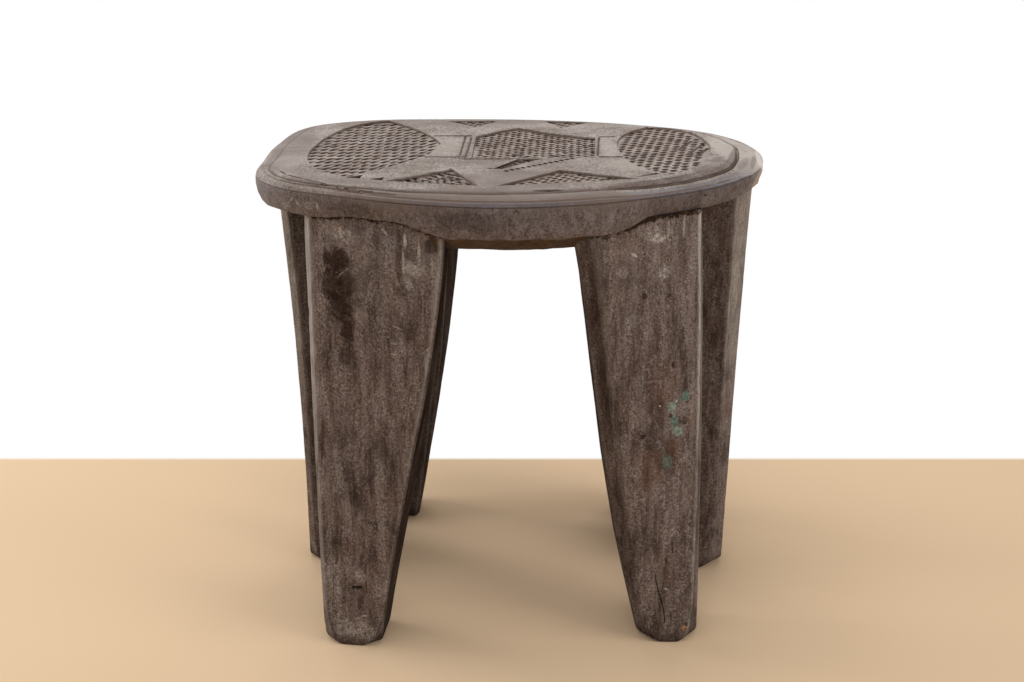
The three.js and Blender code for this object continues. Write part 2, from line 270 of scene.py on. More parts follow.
class Chisel:
    """Closed cutters that are gathered in one mesh and taken off a body together."""

    clearance = 0.35

    def __init__(self) -> None:
        """Starts with no cutters."""
        self.cutters = bmesh.new()

    def sink(self, outline: Sequence[Point], surface: float, depth: float, flare: float = 0.45) -> None:
        """Adds a cutter for a sunk field with sloping walls and an uneven floor.

        Args:
            outline: The field's outline, anticlockwise or clockwise.
            surface: The height of the plain surface.
            depth: How deep the floor lies.
            flare: How much narrower the floor is, on each side.
        """
        steps = (
            (-flare, surface - depth), (-flare * 0.5, surface - depth * 0.75),
            (0.0, surface), (flare, surface + 2.0),
        )
        rings = [
            [Vector((x, y, height)) for x, y in shifted_outline(outline, shift)]
            for shift, height in steps
        ]
        floor, _ = add_loft(self.cutters, rings)
        for vert in quilt(self.cutters, floor, 5.0):
            vert.co.z += 0.16 * grain(vert.co, 9.0, 4.0) + 0.07 * grain(vert.co, 3.0, 5.0)

    def chip(
        self, place: Vector, along: Vector, out: Vector, size: Triple,
        drag: float = 0.3, steep: float = 0.0, sides: int = 4,
    ) -> None:
        """Adds a cutter for one chip: a pit that is deepest towards one end or one side.

        Args:
            place: The middle of the chip on the surface.
            along: The chip's direction.
            out: The direction out of the surface.
            size: The chip's length, width and depth.
            drag: How far the deepest point is moved along, as a share of half the length.
            steep: How far it is moved to the left, as a share of half the width.
            sides: How many sides the pit has.
        """
        length, width, depth = size
        spread = (depth + self.clearance) / depth
        along = (along - out * along.dot(out)).normalized()
        side = along.cross(out)
        across, ahead = side * width * spread / 2, along * length * spread / 2
        basis = Matrix((across, ahead, out)).transposed().to_4x4()
        lift = Matrix.Translation(place + out * ((self.clearance - depth) / 2))
        made = bmesh.ops.create_cone(
            self.cutters, cap_ends=True, segments=sides, radius1=0.07, radius2=1.0,
            depth=depth + self.clearance, matrix=lift @ basis,
        )
        low = [vert for vert in made["verts"] if (vert.co - place).dot(out) < 0.0]
        shift = along * (drag * length / 2) - side * (steep * width / 2)
        bmesh.ops.translate(self.cutters, verts=low, vec=shift)

    def score(self, start: Vector, end: Vector, out: Vector, width: float, depth: float) -> None:
        """Adds a cutter for a straight V groove.

        Args:
            start: One end of the groove, on the surface.
            end: The other end.
            out: The direction out of the surface.
            width: The groove's width at the surface.
            depth: Its depth.
        """
        along = (end - start).normalized()
        side = out.cross(along).normalized()
        basis = Matrix((side * width / 2, side.cross(-along) * -depth, along)).transposed().to_4x4()
        bmesh.ops.create_cone(
            self.cutters, cap_ends=True, segments=4, radius1=1.0, radius2=1.0,
            depth=(end - start).length, matrix=Matrix.Translation((start + end) / 2) @ basis,
        )

    def cut(self, body: Shape) -> Shape:
        """Takes the cutters off a body.

        Args:
            body: The body. It is used up.

        Returns:
            What is left of the body.
        """
        bmesh.ops.recalc_face_normals(self.cutters, faces=self.cutters.faces)
        before = len(body.faces)
        things = []
        for name, shape in (("body", body), ("cutters", self.cutters)):
            mesh = bpy.data.meshes.new(name)
            shape.to_mesh(mesh)
            shape.free()
            things.append(bpy.data.objects.new(name, mesh))
            bpy.context.scene.collection.objects.link(things[-1])
        carve = things[0].modifiers.new("carve", "BOOLEAN")
        carve.object = things[1]
        carve.operation = "DIFFERENCE"
        carve.solver = "MANIFOLD"
        depsgraph = bpy.context.evaluated_depsgraph_get()
        left = bpy.data.meshes.new_from_object(things[0].evaluated_get(depsgraph))
        result = bmesh.new()
        result.from_mesh(left)
        bpy.data.meshes.remove(left)
        for mesh in [thing.data for thing in things]:
            bpy.data.meshes.remove(mesh)
        LOG.info("cut: %d faces became %d", before, len(result.faces))
        return result


def finish_piece(
    shape: Shape, name: str, node: str, material: bpy.types.Material, crease: float
) -> bpy.types.Object:
    """Makes an object of a finished mesh, which stands for a node of the CAD model.

    Args:
        shape: The mesh, in millimetres. It is used up.
        name: The piece's name.
        node: The CAD node that it stands for.
        material: Its material.
        crease: The angle in degrees from which an edge is sharp.

    Returns:
        The object.
    """
    bmesh.ops.scale(shape, vec=(MM, MM, MM), verts=shape.verts)
    mesh = bpy.data.meshes.new(name)
    shape.to_mesh(mesh)
    shape.free()
    mesh.shade_smooth()
    mesh.set_sharp_from_angle(angle=math.radians(crease))
    mesh.materials.append(material)
    thing = bpy.data.objects.new(name, mesh)
    bpy.context.scene.collection.objects.link(thing)
    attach(thing, "root")
    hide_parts(node)
    LOG.info("%s: %d points, %d faces", name, len(mesh.vertices), len(mesh.polygons))
    return thing


# Finishes


class NodeSheet:
    """Places and joins the nodes of one material or node group."""

    def __init__(self, tree: bpy.types.NodeTree) -> None:
        """Starts on a node tree."""
        self.tree = tree

    def node(
        self, kind: str, inputs: dict[str | int, object] | None = None, **settings: object
    ) -> bpy.types.Node:
        """Places a node.

        Args:
            kind: The node's type.
            inputs: A value or a socket for each input that is set.
            **settings: The node's own settings.

        Returns:
            The node.
        """
        made = self.tree.nodes.new(kind)
        for name, value in settings.items():
            setattr(made, name, value)
        for name, value in (inputs or {}).items():
            if isinstance(value, Socket):
                self.tree.links.new(value, made.inputs[name])
            else:
                made.inputs[name].default_value = value
        return made

    def sums(self, operation: str, *values: object, clamp: bool = False) -> Socket:
        """The result of a sum on numbers or sockets."""
        settings = {"operation": operation, "use_clamp": clamp}
        return self.node("ShaderNodeMath", dict(enumerate(values)), **settings).outputs[0]

    def times(self, first: object, second: object) -> Socket:
        """The product of two numbers or sockets."""
        return self.sums("MULTIPLY", first, second)

    def span(
        self, value: object, low: float, high: float, to_low: float = 0.0, to_high: float = 1.0
    ) -> Socket:
        """A value eased from the range low to high into another range."""
        inputs = {
            "Value": value, "From Min": low, "From Max": high, "To Min": to_low, "To Max": to_high,
        }
        eased = self.node("ShaderNodeMapRange", inputs, interpolation_type="SMOOTHSTEP")
        return eased.outputs["Result"]

    def blend(self, share: object, first: object, second: object, mode: str = "MIX") -> Socket:
        """A colour between two colours or sockets."""
        inputs = {0: share, 6: first, 7: second}
        return self.node("ShaderNodeMix", inputs, data_type="RGBA", blend_type=mode).outputs[2]

    def lay(self, under: object, share: object, over: Tint) -> Socket:
        """A colour with another laid over it, by a share."""
        return self.blend(share, under, tone(*over))

    def noise(
        self, vector: object, scale: object, detail: float = 4.0, rough: float = 0.6, twist: float = 0.0
    ) -> Socket:
        """A noise texture's value."""
        inputs = {
            "Vector": vector, "Scale": scale, "Detail": detail, "Roughness": rough, "Distortion": twist,
        }
        return self.node("ShaderNodeTexNoise", inputs).outputs["Fac"]

    def turned(
        self, vector: object, turn: object = (0.0, 0.0, 0.0), size: Triple = (1.0, 1.0, 1.0)
    ) -> Socket:
        """A vector turned and scaled."""
        inputs = {"Vector": vector, "Rotation": turn, "Scale": size}
        return self.node("ShaderNodeMapping", inputs).outputs["Vector"]

    def attribute(self, name: str) -> Socket:
        """A number that the piece's mesh holds."""
        return self.node("ShaderNodeAttribute", attribute_name=name).outputs["Fac"]


class Effect(Enum):
    """The shared effects, each a node group that is built once."""

    FIGURE = "wood_figure"
    SPECKLE = "pale_speckle"
    SCRATCHES = "scratches"
    PATCH = "local_patch"


@dataclass
class EffectShelf:
    """Builds each shared effect the first time that it is asked for."""

    made: dict[Effect, bpy.types.NodeTree] = field(default_factory=dict)

    def place(self, sheet: NodeSheet, effect: Effect, inputs: dict[str, object]) -> bpy.types.Node:
        """Places an effect in a material.

        Args:
            sheet: The material's nodes.
            effect: The effect.
            inputs: Its input values and sockets.

        Returns:
            The group node.
        """
        if effect not in self.made:
            builders = {
                Effect.FIGURE: self.figure, Effect.SPECKLE: self.speckle,
                Effect.SCRATCHES: self.scratches, Effect.PATCH: self.patch,
            }
            self.made[effect] = builders[effect]()
        group = sheet.node("ShaderNodeGroup", node_tree=self.made[effect])
        for name, value in inputs.items():
            if isinstance(value, Socket):
                sheet.tree.links.new(value, group.inputs[name])
            else:
                group.inputs[name].default_value = value
        return group

    @staticmethod
    def open_group(
        effect: Effect, inputs: dict[str, str], outputs: Sequence[str]
    ) -> tuple[NodeSheet, bpy.types.Node, bpy.types.Node]:
        """Starts a node group.

        Args:
            effect: The effect that it makes.
            inputs: The kind of each input socket.
            outputs: The names of the output values.

        Returns:
            Its nodes, its input node and its output node.
        """
        tree = bpy.data.node_groups.new(effect.value, "ShaderNodeTree")
        for name, kind in inputs.items():
            tree.interface.new_socket(name, in_out="INPUT", socket_type=kind)
        for name in outputs:
            tree.interface.new_socket(name, in_out="OUTPUT", socket_type="NodeSocketFloat")
        sheet = NodeSheet(tree)
        return sheet, sheet.node("NodeGroupInput"), sheet.node("NodeGroupOutput")

    def figure(self) -> bpy.types.NodeTree:
        """Streaks, fine fibres and open pores of wood, along a vector that is already stretched."""
        inputs = {"Vector": "NodeSocketVector", "Scale": "NodeSocketFloat"}
        sheet, given, result = self.open_group(Effect.FIGURE, inputs, ("Streak", "Fine", "Pores"))
        vector, scale = given.outputs["Vector"], given.outputs["Scale"]
        streak = sheet.noise(vector, scale, 5.0, 0.62, 0.5)
        fine = sheet.noise(vector, sheet.times(scale, 3.7), 4.0, 0.7)
        pores = sheet.noise(vector, sheet.times(scale, 6.0), 2.0, 0.55)
        sheet.tree.links.new(sheet.span(streak, 0.34, 0.68), result.inputs["Streak"])
        sheet.tree.links.new(sheet.span(fine, 0.36, 0.68), result.inputs["Fine"])
        sheet.tree.links.new(sheet.span(pores, 0.4, 0.31), result.inputs["Pores"])
        return sheet.tree

    def speckle(self) -> bpy.types.NodeTree:
        """Clusters of small pale flecks. Cover runs from 0, none, to 1, dense."""
        inputs = {
            "Vector": "NodeSocketVector", "Scale": "NodeSocketFloat", "Cover": "NodeSocketFloat",
        }
        sheet, given, result = self.open_group(Effect.SPECKLE, inputs, ("Mask",))
        vector, scale = given.outputs["Vector"], given.outputs["Scale"]
        flecks = sheet.noise(vector, scale, 2.0, 0.75)
        clusters = sheet.noise(vector, sheet.times(scale, 0.11), 3.0, 0.6)
        edge = sheet.sums("MULTIPLY_ADD", given.outputs["Cover"], -0.2, 0.95)
        lively = sheet.sums("MULTIPLY_ADD", clusters, 0.3, flecks)
        over = sheet.sums("SUBTRACT", lively, edge)
        sheet.tree.links.new(sheet.span(over, 0.0, 0.09), result.inputs["Mask"])
        return sheet.tree

    def scratches(self) -> bpy.types.NodeTree:
        """Short thin strokes that run along the vector's Z once it is turned."""
        inputs = {
            "Vector": "NodeSocketVector", "Turn": "NodeSocketVector",
            "Scale": "NodeSocketFloat", "Cover": "NodeSocketFloat",
        }
        sheet, given, result = self.open_group(Effect.SCRATCHES, inputs, ("Mask",))
        turned = sheet.turned(given.outputs["Vector"], given.outputs["Turn"])
        thin = sheet.turned(turned, size=(1.0, 1.0, 0.045))
        strokes = sheet.noise(thin, given.outputs["Scale"], 1.0, 0.5)
        gate = sheet.noise(given.outputs["Vector"], 45.0, 2.0, 0.5)
        edge = sheet.sums("MULTIPLY_ADD", given.outputs["Cover"], -0.15, 0.9)
        over = sheet.sums("SUBTRACT", sheet.sums("MULTIPLY_ADD", gate, 0.12, strokes), edge)
        sheet.tree.links.new(sheet.span(over, 0.0, 0.03), result.inputs["Mask"])
        return sheet.tree

    def patch(self) -> bpy.types.NodeTree:
        """A soft-edged patch round one place. Speckle breaks it up into flecks."""
        inputs = {
            "Vector": "NodeSocketVector", "Place": "NodeSocketVector", "Turn": "NodeSocketVector",
            "Size": "NodeSocketVector", "Ragged": "NodeSocketFloat", "Speckle": "NodeSocketFloat",
            "Breakup": "NodeSocketFloat", "Flecks": "NodeSocketFloat",
        }
        sheet, given, result = self.open_group(Effect.PATCH, inputs, ("Mask",))
        mapping = sheet.node(
            "ShaderNodeMapping",
            {
                "Vector": given.outputs["Vector"], "Location": given.outputs["Place"],
                "Rotation": given.outputs["Turn"], "Scale": given.outputs["Size"],
            },
            vector_type="TEXTURE",
        )
        away = sheet.node("ShaderNodeVectorMath", {0: mapping.outputs[0]}, operation="LENGTH")
        shift = sheet.sums("SUBTRACT", given.outputs["Breakup"], 0.5)
        shift = sheet.times(shift, given.outputs["Ragged"])
        soft = sheet.span(sheet.sums("ADD", away.outputs["Value"], shift), 1.15, 0.55)
        bare = sheet.sums("SUBTRACT", 1.0, given.outputs["Speckle"])
        kept = sheet.sums("MULTIPLY_ADD", given.outputs["Flecks"], given.outputs["Speckle"], bare)
        sheet.tree.links.new(sheet.times(soft, kept), result.inputs["Mask"])
        return sheet.tree


@dataclass(frozen=True)
class Stain:
    """One local mark on a piece, in millimetres and degrees."""

    place: Triple
    size: Triple
    colour: Tint
    strength: float = 0.6
    turn: Triple = (0.0, 0.0, 0.0)
    ragged: float = 1.4
    speckle: float = 0.0

    def dark(self) -> bool:
        """Whether the mark is dark, and so lies over the wood's fibres."""
        return sum(self.colour) < 240


def lay_stains(
    sheet: NodeSheet, shelf: EffectShelf, place: Socket, colour: Socket, stains: Sequence[Stain]
) -> Socket:
    """Lays local marks over a colour.

    Args:
        sheet: The material's nodes.
        shelf: The shared effects.
        place: The place on the piece.
        colour: The colour so far.
        stains: The marks, the lowest first.

    Returns:
        The colour with the marks.
    """
    breakup = sheet.noise(place, 190.0, 5.0, 0.7)
    flecks = sheet.span(sheet.noise(place, 520.0, 4.0, 0.8, 0.8), 0.52, 0.6)
    for stain in stains:
        inputs = {
            "Vector": place, "Place": tuple(value * MM for value in stain.place),
            "Turn": tuple(math.radians(value) for value in stain.turn),
            "Size": tuple(value * MM for value in stain.size),
            "Ragged": stain.ragged, "Speckle": stain.speckle, "Breakup": breakup, "Flecks": flecks,
        }
        mask = shelf.place(sheet, Effect.PATCH, inputs).outputs[0]
        colour = sheet.lay(colour, sheet.times(mask, stain.strength), stain.colour)
    return colour


@dataclass(frozen=True)
class LegWood:
    """Dark brown leg wood with an upright grain and pale flecks, edges lighter from wear and painted
    highlight, and painted shade on its inner sides and under the seat's lip.
    """

    deep: Tint = (87, 72, 65)
    body: Tint = (120, 105, 99)
    pale: Tint = (142, 129, 123)
    warm: Tint = (106, 80, 68)
    pore_and_shade: Tint = (42, 31, 26)
    dust: Tint = (188, 176, 167)
    arris: Tint = (194, 187, 179)
    dirt_and_shade: Tint = (36, 25, 18)
    shadow_ochre: Tint = (92, 70, 40)
    roughness: float = 0.6

    def build(self, name: str, shelf: EffectShelf, stains: Sequence[Stain]) -> bpy.types.Material:
        """Builds the material of one leg.

        Args:
            name: The material's name.
            shelf: The shared effects.
            stains: The leg's own marks.

        Returns:
            The material.
        """
        material = bpy.data.materials.new(name)
        material.use_nodes = True
        material.node_tree.nodes.clear()
        sheet = NodeSheet(material.node_tree)
        place = sheet.node("ShaderNodeTexCoord").outputs["Object"]
        upright = sheet.turned(place, (0.02, 0.0, 0.0), (1.0, 1.0, 0.075))
        figure = shelf.place(sheet, Effect.FIGURE, {"Vector": upright, "Scale": 230.0})
        streak, fine, pores = (figure.outputs[key] for key in ("Streak", "Fine", "Pores"))
        height = sheet.node("ShaderNodeSeparateXYZ", {0: place}).outputs["Z"]
        mottle = sheet.noise(sheet.turned(place, size=(1.0, 1.0, 0.5)), 46.0, 5.0, 0.62, 0.6)
        clouds = sheet.noise(sheet.turned(place, size=(1.0, 1.0, 0.3)), 95.0, 4.0, 0.6, 0.3)
        fibre = sheet.noise(place, 620.0, 5.0, 0.8)
        colour = sheet.blend(streak, tone(*self.deep), tone(*self.body))
        colour = sheet.lay(colour, sheet.times(fine, 0.25), self.pale)
        colour = sheet.lay(colour, sheet.span(mottle, 0.5, 0.72, 0.0, 0.5), self.warm)
        colour = sheet.lay(colour, sheet.span(mottle, 0.48, 0.34, 0.0, 0.5), self.pore_and_shade)
        colour = sheet.lay(colour, sheet.span(clouds, 0.5, 0.64, 0.0, 0.55), self.pale)
        colour = sheet.lay(colour, sheet.span(clouds, 0.48, 0.34, 0.0, 0.55), self.pore_and_shade)
        colour = sheet.lay(colour, sheet.times(pores, 0.4), self.pore_and_shade)
        colour = sheet.lay(colour, sheet.span(height, 0.25, 0.33, 0.0, 0.22), self.pale)
        cover = sheet.span(height, 0.2, 0.32, 0.35, 0.95)
        inputs = {"Vector": place, "Scale": 700.0, "Cover": cover}
        flecks = shelf.place(sheet, Effect.SPECKLE, inputs).outputs[0]
        colour = sheet.lay(colour, sheet.times(flecks, 0.5), self.dust)
        for turn, scale in (((0.0, 0.62, 0.2), 1100.0), ((0.3, -0.9, 0.0), 900.0)):
            inputs = {"Vector": place, "Turn": turn, "Scale": scale, "Cover": 0.5}
            marks = shelf.place(sheet, Effect.SCRATCHES, inputs).outputs[0]
            colour = sheet.lay(colour, sheet.times(marks, 0.45), self.dust)
        pale_marks = [stain for stain in stains if not stain.dark()]
        colour = lay_stains(sheet, shelf, place, colour, pale_marks)
        # Painted shade on the inner sides and back of the leg, with fewer pale flecks there.
        inner_shade = sheet.attribute("inner_shade")
        colour = sheet.lay(colour, inner_shade, self.pore_and_shade)
        lively = sheet.span(clouds, 0.4, 0.6, 0.55, 1.0)
        dusty = sheet.times(lively, sheet.sums("MULTIPLY_ADD", inner_shade, -0.85, 1.0))
        dark_fibre = sheet.times(sheet.span(fibre, 0.52, 0.36, 0.0, 0.85), lively)
        colour = sheet.lay(colour, dark_fibre, self.pore_and_shade)
        pale_fibre = sheet.times(sheet.span(fibre, 0.53, 0.67, 0.0, 0.6), dusty)
        colour = sheet.lay(colour, pale_fibre, self.dust)
        dark_marks = [stain for stain in stains if stain.dark()]
        colour = lay_stains(sheet, shelf, place, colour, dark_marks)
        # Lighter along the edges and bevel faces: partly real wear, partly painted highlight.
        worn = sheet.times(sheet.attribute("wear"), sheet.span(fine, 0.0, 0.6, 0.5, 0.95))
        colour = sheet.lay(colour, worn, self.arris)
        # Darker towards the bottom of the foot.
        colour = sheet.lay(colour, sheet.span(height, 0.014, 0.0, 0.0, 0.55), self.dirt_and_shade)
        colour = sheet.lay(colour, sheet.attribute("cut"), self.dirt_and_shade)
        # Painted shadow under the seat's lip: a dark band, partly ochre, at the top of the leg.
        patches = sheet.span(sheet.noise(place, 150.0, 3.0, 0.6), 0.54, 0.64, 0.0, 0.7)
        lip_shadow_tint = sheet.blend(patches, tone(*self.dirt_and_shade), tone(*self.shadow_ochre))
        crease = sheet.sums("ADD", sheet.noise(place, 330.0, 5.0, 0.75), sheet.attribute("crease"))
        colour = sheet.blend(sheet.span(crease, 1.24, 1.4, 0.0, 0.95), colour, lip_shadow_tint)
        relief = sheet.sums("MULTIPLY_ADD", fine, 0.5, sheet.times(streak, 0.6))
        relief = sheet.sums("MULTIPLY_ADD", pores, -0.7, relief)
        relief = sheet.sums("MULTIPLY_ADD", fibre, 0.6, relief)
        bump = sheet.node("ShaderNodeBump", {"Height": relief, "Strength": 0.55, "Distance": 0.0005})
        rough = sheet.span(fibre, 0.3, 0.7, self.roughness - 0.08, self.roughness + 0.14)
        surface = sheet.node(
            "ShaderNodeBsdfPrincipled",
            {
                "Base Color": colour, "Roughness": rough, "Normal": bump.outputs[0],
                "Specular IOR Level": 0.0,
            },
        )
        sheet.node("ShaderNodeOutputMaterial", {"Surface": surface.outputs[0]})
        return material


@dataclass(frozen=True)
class SeatWood:
    """Seat wood: dusty grey-brown on top, lighter there partly from dust and partly as painted light;
    darker on the band; bluish grey on the front's rounded edge as painted sheen; warm brown underneath,
    darker there partly as painted shade.
    """

    top: Tint = (141, 128, 119)
    top_shade: Tint = (122, 107, 97)
    top_dust: Tint = (163, 151, 142)
    edge: Tint = (111, 105, 110)
    edge_sheen_dark: Tint = (91, 85, 88)
    band: Tint = (118, 108, 108)
    band_shade: Tint = (82, 71, 68)
    band_dust: Tint = (146, 134, 128)
    under: Tint = (88, 64, 42)
    under_shade: Tint = (56, 39, 26)
    carved: Tint = (73, 52, 40)
    chipped: Tint = (131, 111, 100)
    ridge: Tint = (156, 142, 132)
    dirt_and_shade: Tint = (56, 35, 24)

    def build(self, shelf: EffectShelf, stains: Sequence[Stain]) -> bpy.types.Material:
        """Builds the seat's material.

        Args:
            shelf: The shared effects.
            stains: The seat's own marks.

        Returns:
            The material.
        """
        material = bpy.data.materials.new("seat_wood")
        material.use_nodes = True
        material.node_tree.nodes.clear()
        sheet = NodeSheet(material.node_tree)
        place = sheet.node("ShaderNodeTexCoord").outputs["Object"]
        level = sheet.turned(place, (0.0, 0.0, 0.05), (0.1, 1.0, 1.0))
        upright = sheet.turned(place, (0.0, 0.0, 0.0), (1.0, 1.0, 0.45))
        flat_figure = shelf.place(sheet, Effect.FIGURE, {"Vector": level, "Scale": 190.0})
        side_figure = shelf.place(sheet, Effect.FIGURE, {"Vector": upright, "Scale": 240.0})
        mottle = sheet.noise(place, 30.0, 5.0, 0.62, 0.5)
        fibre = sheet.noise(place, 640.0, 5.0, 0.8)
        ragged = sheet.sums("MULTIPLY_ADD", sheet.noise(place, 160.0, 3.0, 0.6), 0.3, -0.15)
        zone = sheet.sums("ADD", sheet.attribute("zone"), ragged)
        cut = sheet.attribute("cut")

        top = sheet.blend(flat_figure.outputs["Streak"], tone(*self.top_shade), tone(*self.top))
        top = sheet.lay(top, sheet.span(mottle, 0.42, 0.7, 0.0, 0.7), self.top_dust)
        grit = sheet.noise(sheet.turned(place, size=(1.0, 0.36, 1.0)), 600.0, 4.0, 0.8)
        top = sheet.lay(top, sheet.span(grit, 0.5, 0.37, 0.0, 0.85), self.carved)
        top = sheet.lay(top, sheet.span(grit, 0.54, 0.65, 0.0, 0.75), self.top_dust)
        top = sheet.lay(top, sheet.span(fibre, 0.5, 0.36, 0.0, 0.4), self.carved)
        # Bluish grey on the rounded front edge: painted sheen.
        edge = sheet.blend(side_figure.outputs["Streak"], tone(*self.edge_sheen_dark), tone(*self.edge))
        band = sheet.blend(side_figure.outputs["Streak"], tone(*self.band_shade), tone(*self.band))
        band = sheet.lay(band, sheet.times(side_figure.outputs["Fine"], 0.35), self.band_dust)
        band = sheet.lay(band, sheet.span(mottle, 0.5, 0.32, 0.0, 0.6), self.band_shade)
        band = sheet.lay(band, sheet.span(fibre, 0.51, 0.36, 0.0, 0.75), self.dirt_and_shade)
        band = sheet.lay(band, sheet.span(fibre, 0.53, 0.67, 0.0, 0.5), self.band_dust)
        under = sheet.blend(side_figure.outputs["Streak"], tone(*self.under_shade), tone(*self.under))
        # The top is lighter than the band partly from dust and partly as painted light from above;
        # underneath, a darker warm brown is partly painted shade.
        colour = sheet.blend(sheet.span(zone, 0.35, 0.65), band, edge)
        colour = sheet.blend(sheet.span(zone, 1.3, 1.7), colour, top)
        colour = sheet.blend(sheet.span(zone, -0.3, -0.7), colour, under)
        inputs = {"Vector": place, "Scale": 750.0, "Cover": 0.4}
        flecks = shelf.place(sheet, Effect.SPECKLE, inputs).outputs[0]
        colour = sheet.lay(colour, sheet.times(flecks, 0.4), self.top_dust)
        inputs = {"Vector": place, "Turn": (1.3, 0.5, 0.0), "Scale": 900.0, "Cover": 0.45}
        marks = shelf.place(sheet, Effect.SCRATCHES, inputs).outputs[0]
        colour = sheet.lay(colour, sheet.times(marks, 0.3), self.top_dust)
        colour = lay_stains(sheet, shelf, place, colour, stains)
        # Darker on the walls of the sunk fields and incised lines: painted shade.
        wall_shade = sheet.times(sheet.span(cut, 0.4, 1.3, 0.0, 0.6), sheet.span(cut, 1.95, 1.7))
        colour = sheet.lay(colour, wall_shade, self.carved)
        # Lighter at the level of the field floors, between the chips: painted highlight on the ridges.
        crest = sheet.times(sheet.span(cut, 1.7, 1.9), sheet.span(cut, 2.3, 2.05, 0.0, 0.55))
        colour = sheet.lay(colour, crest, self.ridge)
        lively = sheet.span(fibre, 0.42, 0.58, 0.6, 1.0)
        colour = sheet.lay(colour, sheet.span(cut, 2.05, 2.4, 0.0, 0.75), self.chipped)
        # Darkest at the bottom of the chips and the rim groove: painted shade and dirt.
        deepest = sheet.times(sheet.span(cut, 2.7, 3.7, 0.0, 0.75), lively)
        colour = sheet.lay(colour, deepest, self.dirt_and_shade)
        # Darker on the steep faces of the carved top: painted shade.
        colour = sheet.lay(colour, sheet.times(sheet.attribute("steep"), 0.85), self.dirt_and_shade)
        relief = sheet.sums("MULTIPLY_ADD", flat_figure.outputs["Fine"], 0.4, sheet.times(fibre, 0.8))
        relief = sheet.sums("MULTIPLY_ADD", side_figure.outputs["Pores"], -0.5, relief)
        bump = sheet.node("ShaderNodeBump", {"Height": relief, "Strength": 0.5, "Distance": 0.0005})
        rough = sheet.span(mottle, 0.3, 0.7, 0.66, 0.52)
        surface = sheet.node(
            "ShaderNodeBsdfPrincipled",
            {
                "Base Color": colour, "Roughness": rough, "Normal": bump.outputs[0],
                "Specular IOR Level": 0.18,
            },
        )
        sheet.node("ShaderNodeOutputMaterial", {"Surface": surface.outputs[0]})
        return material


# The seat


@dataclass(frozen=True)
class Station:
    """A place on the seat's outline, its outward direction and its angle round the middle."""

    point: Vector
    out: Vector
    angle: float


@dataclass(frozen=True)
class ChipRows:
    """How the chips of one field lie: in columns that lean, with every other one moved along.

    The stagger is the share of the pitch by which it is moved. The lean is the step sideways for
    each step along, and the slant is each chip's own turn in degrees.
    """

    pitch: Point
    size: Triple
    lean: float
    slant: float
    margin: float = 1.2
    drag: float = 0.1
    steep: float = 0.62
    sides: int = 6
    stagger: float = 0.5


@dataclass(frozen=True)
class CarvedField:
    """A sunk field: its outline, its depth and its chips."""

    outline: tuple[Point, ...]
    depth: float
    rows: ChipRows | None = None


def triangle(
    first: Point, second: Point, third: Point, depth: float, rows: ChipRows | None = None
) -> CarvedField:
    """A sunk pocket with three corners."""
    return CarvedField(tuple(curve_through(first, (second,), (third,))), depth, rows)


